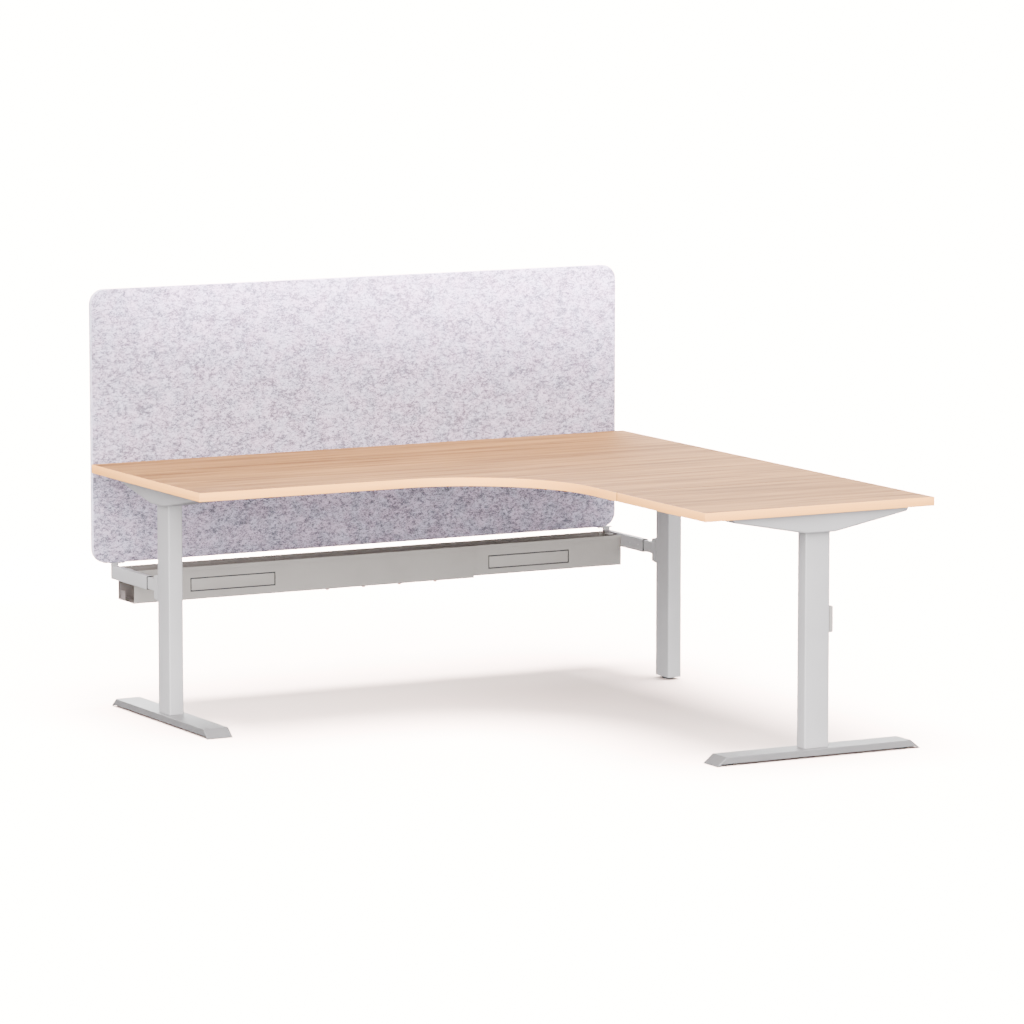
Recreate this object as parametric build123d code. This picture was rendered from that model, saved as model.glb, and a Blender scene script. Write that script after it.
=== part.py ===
from build123d import *
import os

# A right-hand corner workstation: an L-shaped worktop in two boards on three steel columns,
# with a felt screen and a telescopic cable tray carried behind it on two sliding arms.
# X runs to the right, Y to the back and Z up from the floor.
# The origin is the middle of the base. All lengths are millimetres.

# Worktop boards, laminated, with a glued edge band all round
desk_width = 1800.0
return_side_length = 1800.0
main_depth = 750.0
return_width = 750.0
return_length = 500.0
inner_corner_radius = 400.0
top_thickness = 25.0
worktop_height = 722.0
edge_band_thickness = 2.0
outer_corner_bevel = 1.0
seam_gap = 0.4

# Felt screen behind the main board
screen_side_distance = 15.0
screen_height = 815.0
screen_thickness = 21.0
screen_gap = 21.0
screen_corner_radius = 45.0
screen_edge_bevel = 2.5

# Columns, rectangular steel tubes
column_long = 80.0
column_short = 45.0
column_wall = 2.0
column_corner_radius = 4.0
left_leg_side_distance = 87.0
corner_leg_side_distance = 41.0
main_leg_back_distance = 360.0
return_leg_side_distance = 360.0
return_leg_front_distance = 63.0

# Feet, pressed inverted channels with sloping ends
foot_length = 668.0
foot_width = 80.0
foot_height = 26.0
foot_wall = 3.0
foot_slope_length = 31.0
foot_tip_height = 2.0
foot_lip_length = 12.0
foot_edge_radius = 2.5
base_plug_height = 10.0
foot_bolt_radius = 4.0
foot_bolt_head_radius = 6.5
foot_bolt_head_height = 5.0
foot_bolt_bite_length = 8.0
foot_bolt_edge_distance = 12.0

# Levelling glides, which screw out of nut bars in the feet and a plug in the corner column
glide_pad_radius = 25.0
corner_glide_pad_radius = 19.0
glide_grip_sides = 24
glide_pad_height = 7.2
glide_pad_bevel = 1.5
glide_stud_radius = 4.0
glide_end_distance = 48.0
glide_running_gap = 0.3
nut_bar_length = 30.0
nut_bar_thickness = 6.0
corner_plug_height = 30.0

# Gull-wing brackets, pressed steel shells between the columns on feet and the boards
wing_length = 573.0
wing_width = 85.0
wing_end_depth = 12.3
wing_hub_depth = 57.0
wing_hub_length = 92.0
wing_wall = 2.5
wing_tip_bevel = 5.0
wing_blend_radius = 120.0
wing_edge_radius = 6.0
wing_lip_width = 14.0
wing_screw_end_distance = 60.0

# Head plates on the columns
head_plate_length = 200.0
head_plate_thickness = 4.0
head_screw_edge_distance = 14.0

# Wood screws into the boards
wood_screw_radius = 2.2
wood_screw_head_radius = 4.5
wood_screw_head_height = 2.5
wood_screw_bite_length = 16.0
screw_clearance = 0.2

# Seam plates under the joint between the boards
seam_plate_width = 60.0
seam_plate_length = 100.0
seam_plate_thickness = 3.0
seam_plate_screw_edge_distance = 15.0
seam_plate_place_shares = (0.13, 0.68, 0.9)

# Telescopic beams under the boards
beam_width = 50.0
beam_height = 35.0
beam_wall = 2.0
beam_corner_radius = 4.0
beam_nest_gap = 0.5
beam_overlap_length = 200.0
beam_outer_share = 0.6
beam_plate_width = 80.0
beam_plate_thickness = 4.0
beam_bolt_edge_distance = 9.0
beam_bolt_radius = 3.0
beam_bolt_head_radius = 5.0
beam_bolt_head_height = 3.5
weld_nut_radius = 5.0
weld_nut_height = 6.0
lock_screw_spacing = 120.0

# Mounting pads for arms, one on each column
arm_axis_height = 391.0
arm_pad_drop_height = 1.5
arm_pad_height = 75.0
arm_pad_thickness = 12.0
arm_pad_corner_bevel = 2.0
arm_pad_bevel = 2.5

# Arms: flange and inner rail on the column, sleeve that slides on the rail
arm_flange_height = 70.0
arm_flange_thickness = 12.0
flange_bolt_radius = 3.0
flange_bolt_head_radius = 5.5
flange_bolt_head_height = 3.0
flange_bolt_edge_distance = 9.0
sleeve_width = 20.0
sleeve_height = 40.0
sleeve_wall = 1.6
sleeve_corner_radius = 2.5
sleeve_length = 252.0
sleeve_back_distance = 6.0
rail_side_gap = 1.2
rail_wall = 1.5
rail_corner_radius = 1.5
rail_end_distance = 56.0
bush_length = 20.0
bush_recess_depth = 3.0
rail_running_gap = 0.3
guide_block_length = 15.0
sleeve_cap_depth = 10.0
set_screw_radius = 2.5
set_screw_proud_height = 0.5
set_screw_first_distance = 28.0
set_screw_pitch = 50.0

# Cable tray in two nested folded sections
tray_depth = 114.0
tray_height = 98.0
tray_top_gap = 3.0
tray_back_distance = 13.0
tray_wall = 1.5
tray_bend_radius = 3.0
tray_overlap_length = 620.0
tray_nest_gap = 3.5
tray_nest_floor_gap = 5.0
tray_hem_height = 12.0
tray_hem_thickness = 1.5
tray_tab_width = 28.5
tray_tab_height = 30.0
tray_tab_back_distance = 20.0
tray_screw_radius = 2.5
tray_screw_head_radius = 5.5
tray_screw_head_height = 4.0
tray_screw_bite_length = 2.5
tray_screw_pitch = 122.0
tray_screw_front_distance = 9.0
tray_screw_count = 4

# Blank panels, clipped flush into the front walls of the tray
panel_opening_length = 281.0
panel_opening_height = 41.5
panel_opening_end_distance = 183.5
panel_opening_bottom = 23.5
panel_slit_width = 2.2
panel_rim_width = 4.0
panel_corner_bevel = 1.0

# Hangers that carry the tray between the sleeves
hanger_thickness = 2.0
hanger_height = 32.0
hanger_flange_length = 18.0
hanger_top_gap = 2.0
hanger_ear_width = 30.0
hanger_ear_back_distance = 34.0
hanger_ear_thickness = 1.5
hanger_slot_length = 12.0
hanger_slot_width = 5.0
hanger_screw_radius = 2.5
hanger_screw_head_radius = 4.5
hanger_screw_head_height = 2.0
hanger_screw_spacing = 60.0

# Screen brackets: a post on each sleeve and a plate under the screen
screen_post_depth = 10.0
screen_post_height = 8.0
screen_plate_thickness = 2.0
screen_plate_inward_length = 32.0
screen_plate_outward_length = 17.5
screen_plate_edge_distance = 2.0
screen_screw_first_distance = 15.5
screen_screw_pitch = 10.5
screen_screw_bite_length = 25.0

# How far a cut runs past the face that it leaves
overcut_length = 1.0

# The sides of a small fixing and of the hole that it goes in
fixing_sides = 6

# Places that follow from the sizes above
left_x, right_x = -desk_width / 2, desk_width / 2
screen_width = desk_width - 2 * screen_side_distance
screen_bottom = arm_axis_height + sleeve_height / 2 + screen_post_height + screen_plate_thickness
overall_depth = return_side_length + screen_gap + screen_thickness
front_y = -overall_depth / 2
back_edge_y = front_y + return_side_length
screen_front_y = back_edge_y + screen_gap
screen_back_y = screen_front_y + screen_thickness
underside = worktop_height - top_thickness
return_inner_x = right_x - return_width
main_front_y = back_edge_y - main_depth
seam_y = front_y + return_length
left_leg_x = left_x + left_leg_side_distance
corner_leg_x = right_x - corner_leg_side_distance
main_leg_y = back_edge_y - main_leg_back_distance
return_leg_x = right_x - return_leg_side_distance
return_leg_y = front_y + return_leg_front_distance
foot_skirt_height = glide_pad_height + glide_running_gap
glide_stud_top = foot_height - foot_wall - glide_running_gap
column_top = underside - head_plate_thickness
wing_inner_width = wing_width - 2 * wing_wall
inner_beam_width = beam_width - 2 * (beam_wall + beam_nest_gap)
inner_beam_height = beam_height - 2 * (beam_wall + beam_nest_gap)
beam_z = underside - beam_height / 2
rail_width = sleeve_width - 2 * (sleeve_wall + rail_side_gap)
rail_height = sleeve_height - 2 * (sleeve_wall + rail_side_gap)
arm_pad_z = arm_axis_height - arm_pad_drop_height
flange_face_y = main_leg_y + column_long / 2 + arm_pad_thickness + arm_flange_thickness
sleeve_back_y = screen_back_y - sleeve_back_distance
sleeve_front_y = sleeve_back_y - sleeve_length
rail_end_y = sleeve_back_y - rail_end_distance
tray_back_y = screen_back_y - tray_back_distance
tray_front_y = tray_back_y - tray_depth
tray_top = arm_axis_height + sleeve_height / 2 - tray_top_gap
tray_floor = tray_top - tray_height
tray_left_x = left_leg_x + sleeve_width / 2
tray_right_x = corner_leg_x - sleeve_width / 2
tray_section_length = (tray_right_x - tray_left_x + tray_overlap_length) / 2

# The long side of every column lies along its own leg's local X
left_leg = Pos(left_leg_x, main_leg_y, 0) * Rot(0, 0, 90)
corner_leg = Pos(corner_leg_x, main_leg_y, 0) * Rot(0, 0, 90)
right_leg = Pos(return_leg_x, return_leg_y, 0)


def block(x0, x1, y0, y1, z0, z1):
    """A box between two corners."""
    return Pos((x0 + x1) / 2, (y0 + y1) / 2, (z0 + z1) / 2) * Box(x1 - x0, y1 - y0, z1 - z0)


def peg(radius, z0, z1):
    """A small fixing's shank, head or hole, with few sides because there are so many."""
    return Pos(0, 0, z0) * extrude(RegularPolygon(radius, fixing_sides), z1 - z0)


def bar(length, width, radius, z0, z1):
    """An upright bar with rounded corners."""
    return Pos(0, 0, z0) * extrude(RectangleRounded(length, width, radius), z1 - z0)


def tube(length, width, wall, radius, z0, z1):
    """An upright rectangular tube, rounded outside and square inside."""
    inner = block(-length / 2 + wall, length / 2 - wall, -width / 2 + wall, width / 2 - wall, z0, z1)
    return bar(length, width, radius, z0, z1) - inner


def fastener(radius, head_radius, head_height, shank):
    """A screw that points up, its head hanging below the seat at Z zero."""
    return peg(head_radius, -head_height, 0) + peg(radius, 0, shank)


def prism(points, width):
    """An outline in X and Z, extruded evenly to both sides of the local XZ plane."""
    return extrude(Plane.XZ * make_face(Polyline(points, close=True)), width / 2, both=True)


def group(solids):
    """Separate solids that share one node."""
    return Compound(children=list(solids))


# Worktop boards
def main_outline():
    """The main board: a straight front, a concave quarter circle and the stub of the return."""
    arc_x = return_inner_x - inner_corner_radius
    arc_y = main_front_y - inner_corner_radius
    seam = seam_y + seam_gap / 2
    edges = Polyline(
        (return_inner_x, arc_y), (return_inner_x, seam), (right_x, seam), (right_x, back_edge_y),
        (left_x, back_edge_y), (left_x, main_front_y), (arc_x, main_front_y))
    face = make_face(edges + CenterArc((arc_x, arc_y), inner_corner_radius, 0, 90))
    inside = [(return_inner_x, arc_y), (arc_x, main_front_y)]
    corners = [v for v in face.vertices()
               if all(abs(v.X - x) + abs(v.Y - y) > overcut_length for x, y in inside)]
    return chamfer(corners, outer_corner_bevel)


def return_outline():
    """The return board: a plain rectangle up to the seam."""
    seam = seam_y - seam_gap / 2
    face = Pos((return_inner_x + right_x) / 2, (front_y + seam) / 2) * Rectangle(
        return_width, seam - front_y)
    return chamfer(face.vertices(), outer_corner_bevel)


def board_and_band(outline, screw_places):
    """A board with blind holes for its screws, and the band glued round its edge."""
    core = offset(outline, -edge_band_thickness)
    board = Pos(0, 0, underside) * extrude(core, top_thickness)
    band = Pos(0, 0, underside) * extrude(outline - core, top_thickness)
    for x, y in screw_places:
        hole = peg(wood_screw_radius + screw_clearance, -overcut_length, wood_screw_bite_length)
        board -= Pos(x, y, underside) * hole
    return board, band


def leg_places(leg, places):
    """Local places on a leg, in the part's own X and Y."""
    spots = [(leg * Pos(x, y, 0)).position for x, y in places]
    return [(spot.X, spot.Y) for spot in spots]


def four(x, y):
    """The four corners of a centred rectangle."""
    return [(sx * x, sy * y) for sx in (-1, 1) for sy in (-1, 1)]


def head_screw_places():
    """A screw near each end of a head plate, clear of the column below it."""
    return [(side * (head_plate_length / 2 - head_screw_edge_distance), 0) for side in (-1, 1)]


def wing_screw_places():
    """Screws through the lips near both ends of a gull-wing bracket."""
    return four(wing_length / 2 - wing_screw_end_distance, (wing_inner_width - wing_lip_width) / 2)


def seam_plate_centres():
    """The middles of the plates, spread along the seam beside the return beam."""
    return [(return_inner_x + share * return_width, seam_y) for share in seam_plate_place_shares]


def seam_screw_places():
    """Four screws in each seam plate, two in each board."""
    x = seam_plate_width / 2 - seam_plate_screw_edge_distance
    y = seam_plate_length / 2 - seam_plate_screw_edge_distance
    return [(cx + dx, cy + dy) for cx, cy in seam_plate_centres() for dx, dy in four(x, y)]


def seam_plates():
    """Flat steel plates that join the boards from below."""
    plates = []
    for cx, cy in seam_plate_centres():
        plate = block(-seam_plate_width / 2, seam_plate_width / 2, -seam_plate_length / 2,
                      seam_plate_length / 2, underside - seam_plate_thickness, underside)
        plates.append(Pos(cx, cy, 0) * plate)
    return group(cut_screw_holes(plate, seam_screw_places(), seam_plate_thickness)
                 for plate in plates)


def cut_screw_holes(plate, places, thickness):
    """Clearance holes for wood screws through a plate under the boards."""
    for x, y in places:
        hole = peg(wood_screw_radius + screw_clearance, -thickness - overcut_length, overcut_length)
        plate -= Pos(x, y, underside) * hole
    return plate


def wood_screws(places, thickness):
    """Wood screws driven up through a plate into a board."""
    screw = fastener(wood_screw_radius, wood_screw_head_radius, wood_screw_head_height,
                     thickness + wood_screw_bite_length - screw_clearance)
    return [Pos(x, y, underside - thickness) * screw for x, y in places]


# Legs, each made round its own column's axis
def foot():
    """An inverted channel whose ends slope down to a lip; its sides stop above the glides."""
    run_share = foot_slope_length / (foot_height - foot_tip_height)

    def profile(bottom):
        flat = foot_length / 2 - foot_slope_length
        reach = flat + run_share * (foot_height - bottom)
        return [(-reach, bottom), (-flat, foot_height), (flat, foot_height), (reach, bottom)]

    outer = prism(profile(foot_tip_height), foot_width)
    rims = [e for e in outer.edges() if abs(abs(e.center().Y) - foot_width / 2) < overcut_length
            and e.center().Z > foot_tip_height + overcut_length]
    outer = fillet(rims, foot_edge_radius)
    deep = Plane.XZ * offset(make_face(Polyline(profile(-foot_height), close=True)), -foot_wall)
    inner = extrude(deep, foot_width / 2 - foot_wall, both=True)
    skirt = foot_length / 2 - foot_lip_length
    shell = outer - inner - block(-skirt, skirt, -foot_width, foot_width, -foot_height, foot_skirt_height)
    for x, y in foot_bolt_places():
        shell -= Pos(x, y, 0) * peg(foot_bolt_radius + screw_clearance, 0, foot_height + overcut_length)
    return shell


def foot_bolt_places():
    """Four bolts inside the column's outline."""
    return four(column_long / 2 - column_wall - foot_bolt_edge_distance,
                column_short / 2 - column_wall - foot_bolt_edge_distance)


def foot_bolts():
    """Bolts from inside the foot up into the column's base plug."""
    bolt = fastener(foot_bolt_radius, foot_bolt_head_radius, foot_bolt_head_height,
                    foot_wall + foot_bolt_bite_length - screw_clearance)
    return [Pos(x, y, foot_height - foot_wall) * bolt for x, y in foot_bolt_places()]


def plug_block(bottom, height):
    """A block that fills the inside of a column."""
    half_long, half_short = column_long / 2 - column_wall, column_short / 2 - column_wall
    return block(-half_long, half_long, -half_short, half_short, bottom, bottom + height)


def base_plug():
    """A thick plate welded inside the foot of a column, tapped for the foot bolts."""
    plug = plug_block(foot_height, base_plug_height)
    for x, y in foot_bolt_places():
        plug -= Pos(x, y, foot_height) * peg(foot_bolt_radius + screw_clearance, 0, foot_bolt_bite_length)
    return plug


def glide_places():
    """Local X of the two glides of a foot."""
    return [side * (foot_length / 2 - glide_end_distance) for side in (-1, 1)]


def nut_bars():
    """Bars across the inside of a foot, tapped for the glides."""
    inner = foot_width / 2 - foot_wall
    bar_top = foot_skirt_height + nut_bar_thickness
    bars = []
    for x in glide_places():
        piece = block(x - nut_bar_length / 2, x + nut_bar_length / 2, -inner, inner,
                      foot_skirt_height, bar_top)
        hole = peg(glide_stud_radius + glide_running_gap, 0, foot_height)
        bars.append(piece - Pos(x, 0, 0) * hole)
    return bars


def glide(pad_radius):
    """A black levelling glide: a pad with grip flats round its rim, and its stud."""
    pad = extrude(RegularPolygon(pad_radius, glide_grip_sides), glide_pad_height)
    pad = chamfer(pad.faces().sort_by(Axis.Z)[-1].edges(), glide_pad_bevel)
    return pad + peg(glide_stud_radius, 0, glide_stud_top)


def column(bottom, holes):
    """A column tube, with the holes that its fixings need."""
    post = tube(column_long, column_short, column_wall, column_corner_radius, bottom, column_top)
    for hole in holes:
        post -= hole
    return post


def corner_plug():
    """The moulded plug in the corner column's open end, tapped for its glide."""
    top = foot_skirt_height + corner_plug_height
    bore = peg(glide_stud_radius + glide_running_gap, 0, top + overcut_length)
    return plug_block(foot_skirt_height, corner_plug_height) - bore


def head_plate(width):
    """A plate welded across a column's top, screwed up into the board."""
    return block(-head_plate_length / 2, head_plate_length / 2, -width / 2, width / 2,
                 column_top, underside)


def wing_profile():
    """Shallow square ends, straight slopes and a deep flat hub, taller than the piece on top."""
    half, hub, crown = wing_length / 2, wing_hub_length / 2, underside + 2 * wing_wall
    tip, keel = underside - wing_end_depth, underside - wing_hub_depth
    face = make_face(Polyline((-half, crown), (-half, tip), (-hub, keel), (hub, keel), (half, tip),
                              (half, crown), close=True))
    low = face.vertices().sort_by(Axis.Y)
    face = fillet(low[:2], wing_blend_radius)
    tips = [v for v in face.vertices()
            if abs(v.Y - tip) < wing_wall / 4 and abs(abs(v.X) - half) < wing_wall / 4]
    return chamfer(tips, wing_tip_bevel)


def top_bracket():
    """The pressed shell: hollow, open towards the board, with lips for its screws."""
    profile = wing_profile()
    above = block(-wing_length, wing_length, -wing_width, wing_width, underside,
                  underside + wing_length)
    outer = extrude(Plane.XZ * profile, wing_width / 2, both=True)
    low = [e for e in outer.edges()
           if abs(abs(e.center().Y) - wing_width / 2) < wing_wall / 4 and e.center().Z < underside]
    outer = fillet(low, wing_edge_radius) - above
    inner = extrude(Plane.XZ * offset(profile, -wing_wall), wing_inner_width / 2, both=True)
    slot = wing_inner_width / 2 - wing_lip_width
    lips = outer - block(-wing_length, wing_length, -slot, slot, 0, underside + overcut_length)
    lips -= block(-wing_length, wing_length, -wing_width, wing_width, 0, underside - wing_wall)
    gap = head_plate_length / 2 + glide_running_gap
    lips -= block(-gap, gap, -wing_width, wing_width, 0, underside + overcut_length)
    shell = (outer - inner) + lips
    return shell - bar(column_long, column_short, column_corner_radius, 0, underside)


# Telescopic beams, each made along its own local Z with local X level
def main_beam_plane(x):
    return Plane(origin=(x, main_leg_y, beam_z), x_dir=(0, 1, 0), z_dir=(1, 0, 0))


def return_beam_plane(y):
    return Plane(origin=(return_leg_x, y, beam_z), x_dir=(1, 0, 0), z_dir=(0, 1, 0))


def beam_pair(plane_at, start, end):
    """The outer tube from the start and the inner tube to the end, and their lock screws."""
    seam = start + beam_outer_share * (end - start)
    outer = tube(beam_width, beam_height, beam_wall, beam_corner_radius, 0, seam - start)
    inner = tube(inner_beam_width, inner_beam_height, beam_wall, beam_corner_radius - beam_wall, 0,
                 end - seam + beam_overlap_length)
    screws, holes = [], []
    for side in (-1, 1):
        spot = plane_at(seam - beam_overlap_length / 2 + side * lock_screw_spacing / 2).origin
        seat = Pos(spot.X, spot.Y, beam_z - beam_height / 2)
        screws.append(seat * fastener(beam_bolt_radius, beam_bolt_head_radius,
                                      beam_bolt_head_height, beam_wall + beam_nest_gap))
        holes.append(seat * peg(beam_bolt_radius + screw_clearance, -overcut_length,
                                beam_wall + overcut_length))
    outer = plane_at(start) * outer
    for hole in holes:
        outer -= hole
    return outer, plane_at(seam - beam_overlap_length) * inner, screws


def bolt_row(plane, shape):
    """The same shape at the two bolts of a beam's end plate."""
    x = beam_plate_width / 2 - beam_bolt_edge_distance
    return [plane * Pos(side * x, 0, 0) * shape for side in (-1, 1)]


def end_plate(plane, height):
    """A plate welded on a beam's end; the plane's Z points from the plate into the wall."""
    plate = block(-beam_plate_width / 2, beam_plate_width / 2, -height / 2, height / 2,
                  -beam_plate_thickness, 0)
    plate = plane * plate
    for hole in bolt_row(plane, peg(beam_bolt_radius + screw_clearance, -beam_height, beam_height)):
        plate -= hole
    return plate


def wall_holes(plane, wall):
    """Holes for the two bolts in the wall that an end plate is bolted to."""
    return bolt_row(plane, peg(beam_bolt_radius + screw_clearance, -overcut_length,
                               wall + overcut_length))


def end_bolts(plane, wall):
    """Two bolts through an end plate and a wall, each with its weld nut behind the wall."""
    bolt = Pos(0, 0, -beam_plate_thickness) * fastener(
        beam_bolt_radius, beam_bolt_head_radius, beam_bolt_head_height,
        beam_plate_thickness + wall + weld_nut_height)
    nut = peg(weld_nut_radius, wall, wall + weld_nut_height)
    nut -= peg(beam_bolt_radius + screw_clearance, 0, wall + 2 * weld_nut_height)
    return bolt_row(plane, bolt), bolt_row(plane, nut)


# Arms, made round the leg's own X and moved there
def arm_pad(cover):
    """The block on a column's face that an arm bolts to; unused, it is a plain cover."""
    face = column_long / 2
    pad = block(face, face + arm_pad_thickness, -column_short / 2, column_short / 2,
                arm_pad_z - arm_pad_height / 2, arm_pad_z + arm_pad_height / 2)
    pad = chamfer(pad.edges().filter_by(Axis.X), arm_pad_corner_bevel)
    if cover:
        return chamfer(pad.faces().sort_by(Axis.X)[-1].edges(), arm_pad_bevel)
    for hole in flange_bolt_row(flange_bolt_hole()):
        pad -= hole
    return pad


def arm_flange():
    """The arm's flange on the pad; the inner rail is welded to it."""
    face = column_long / 2 + arm_pad_thickness
    plate = block(face, face + arm_flange_thickness, -column_short / 2, column_short / 2,
                  arm_pad_z - arm_flange_height / 2, arm_pad_z + arm_flange_height / 2)
    plate = chamfer(plate.edges().filter_by(Axis.X), arm_pad_corner_bevel)
    for hole in flange_bolt_row(flange_bolt_hole()):
        plate -= hole
    return plate


def flange_bolt_hole():
    return peg(flange_bolt_radius + screw_clearance, -arm_pad_height, arm_pad_height)


def flange_bolt_row(shape):
    """The same shape at the flange's upper and lower bolt, pointing back into the column."""
    face = column_long / 2 + arm_pad_thickness + arm_flange_thickness
    z = arm_flange_height / 2 - flange_bolt_edge_distance
    return [Pos(face, 0, arm_pad_z + side * z) * Rot(0, -90, 0) * shape for side in (-1, 1)]


def flange_column_holes():
    """The holes for the flange bolts in the column's wall."""
    reach = arm_pad_thickness + arm_flange_thickness
    return flange_bolt_row(peg(flange_bolt_radius + screw_clearance, reach - overcut_length,
                               reach + column_wall + overcut_length))


def flange_bolts():
    """Two bolts through flange, pad and column wall."""
    length = arm_pad_thickness + arm_flange_thickness + column_wall + weld_nut_height
    return flange_bolt_row(fastener(flange_bolt_radius, flange_bolt_head_radius,
                                    flange_bolt_head_height, length))


def arm_tube(length, width, height, wall, radius, y0):
    """A level tube along Y from y0, its centre at the arm's height."""
    plane = Plane(origin=(0, y0, arm_axis_height), x_dir=(1, 0, 0), z_dir=(0, 1, 0))
    return plane * tube(width, height, wall, radius, 0, length)


def arm_bar(length, width, height, y0):
    """A level block along Y from y0, its centre at the arm's height."""
    return block(-width / 2, width / 2, y0, y0 + length, arm_axis_height - height / 2,
                 arm_axis_height + height / 2)


def inner_rail():
    """The fixed tube that the sleeve slides on."""
    return arm_tube(rail_end_y - flange_face_y, rail_width, rail_height, rail_wall,
                    rail_corner_radius, flange_face_y)


def guide_block():
    """The moulded block on the rail's end, which runs inside the sleeve."""
    width = sleeve_width - 2 * (sleeve_wall + rail_running_gap)
    height = sleeve_height - 2 * (sleeve_wall + rail_running_gap)
    return arm_bar(guide_block_length, width, height, rail_end_y)


def set_screw_places():
    """Y of the two set screws near the sleeve's mouth."""
    return [sleeve_front_y + set_screw_first_distance + turn * set_screw_pitch for turn in range(2)]


def sleeve(side):
    """The outer tube of an arm; the side with its set screws and tray faces the desk's middle."""
    body = arm_tube(sleeve_length, sleeve_width, sleeve_height, sleeve_wall, sleeve_corner_radius,
                    sleeve_front_y)
    for y in set_screw_places():
        hole = peg(set_screw_radius + screw_clearance / 2, 0, sleeve_width)
        body -= Pos(0, y, arm_axis_height) * Rot(0, side * 90, 0) * hole
    for place in hanger_screw_places(side):
        body -= place * peg(hanger_screw_radius + screw_clearance / 2, -overcut_length,
                            sleeve_wall + overcut_length)
    return body


def set_screws(side):
    """Two set screws that reach in to the rail."""
    tip = rail_width / 2 + rail_running_gap
    screw = peg(set_screw_radius, tip, sleeve_width / 2 + set_screw_proud_height)
    return [Pos(0, y, arm_axis_height) * Rot(0, side * 90, 0) * screw for y in set_screw_places()]


def sleeve_bush():
    """The black guide bush just inside the sleeve's mouth."""
    y0 = sleeve_front_y + bush_recess_depth
    outer = arm_bar(bush_length, sleeve_width - 2 * sleeve_wall, sleeve_height - 2 * sleeve_wall, y0)
    return outer - arm_bar(bush_length, rail_width + 2 * rail_running_gap,
                           rail_height + 2 * rail_running_gap, y0)


def sleeve_cap():
    """The plug in the sleeve's back end."""
    return arm_bar(sleeve_cap_depth, sleeve_width - 2 * sleeve_wall,
                   sleeve_height - 2 * sleeve_wall, sleeve_back_y - sleeve_cap_depth)


# Cable tray
def channel(width, height, bend_radius):
    """A filled channel section with its two lower corners rounded."""
    section = Rectangle(width, height)
    return fillet(section.vertices().sort_by(Axis.Y)[:2], bend_radius)


def tray_section(x0, x1, end_x, inset, rise):
    """A folded trough with a hemmed front, an end tab, a panel opening and its screw holes."""
    front, back, floor = tray_front_y + inset, tray_back_y - inset, tray_floor + rise
    middle = (front + back) / 2
    height = tray_top - floor
    outer = Pos(middle, floor + height / 2) * channel(back - front, height, tray_bend_radius)
    inner = Pos(middle, floor + tray_wall + height / 2) * channel(
        back - front - 2 * tray_wall, height, tray_bend_radius - tray_wall)
    trough = Pos(x0, 0, 0) * extrude(Plane.YZ * (outer - inner), x1 - x0)
    hem = block(x0, x1, front - tray_hem_thickness, front, tray_top - tray_hem_height, tray_top)
    trough += chamfer(hem.edges().filter_by(Axis.X).group_by(Axis.Y)[0], tray_hem_thickness / 3)
    inward = 1 if end_x == tray_left_x else -1
    tab_y = back - tray_tab_back_distance
    tab_x = sorted((end_x, end_x + inward * tray_wall))
    trough += block(*tab_x, tab_y - tray_tab_width, tab_y, floor, floor + tray_tab_height)
    x = sorted((end_x + inward * panel_opening_end_distance,
                end_x + inward * (panel_opening_end_distance + panel_opening_length)))
    low = tray_floor + panel_opening_bottom
    trough -= block(*x, front - overcut_length, front + tray_wall + overcut_length, low,
                    low + panel_opening_height)
    for x in tray_screw_xs():
        hole = peg(tray_screw_radius + screw_clearance, 0,
                   tray_nest_floor_gap + tray_wall + 2 * overcut_length)
        trough -= Pos(x, tray_screw_y(), tray_floor - overcut_length) * hole
    return trough


def tray_screw_xs():
    """The clamp screws, evenly spaced about the middle of the overlap."""
    middle = (tray_left_x + tray_right_x) / 2
    first = -(tray_screw_count - 1) / 2
    return [middle + (first + turn) * tray_screw_pitch for turn in range(tray_screw_count)]


def tray_screw_y():
    return tray_front_y + tray_nest_gap + tray_screw_front_distance


def tray_clamp_screws():
    """Brass-coloured screws up through both floors."""
    screw = fastener(tray_screw_radius, tray_screw_head_radius, tray_screw_head_height,
                     tray_nest_floor_gap + tray_wall + tray_screw_bite_length)
    return group(Pos(x, tray_screw_y(), tray_floor) * screw for x in tray_screw_xs())


def blank_panel(end_x, inward, inset):
    """A cover flush with the tray's front, and the rim behind it that closes the slit."""
    x = sorted((end_x + inward * panel_opening_end_distance,
                end_x + inward * (panel_opening_end_distance + panel_opening_length)))
    low = tray_floor + panel_opening_bottom
    high = low + panel_opening_height
    front = tray_front_y + inset
    plate = block(x[0] + panel_slit_width, x[1] - panel_slit_width, front, front + tray_wall,
                  low + panel_slit_width, high - panel_slit_width)
    plate = chamfer(plate.edges().filter_by(Axis.Y), panel_corner_bevel)
    rim = block(x[0] - panel_rim_width, x[1] + panel_rim_width, front + tray_wall, front + 2 * tray_wall,
                low - panel_rim_width, high + panel_rim_width)
    return plate + rim


def hanger_screw_places(side):
    """Seats of the hanger's screws on the sleeve's inner face, pointing into the sleeve."""
    middle = (tray_front_y + tray_back_y) / 2
    return [Pos(side * sleeve_width / 2, middle + turn * hanger_screw_spacing / 2, arm_axis_height)
            * Rot(0, -side * 90, 0) for turn in (-1, 1)]


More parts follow.
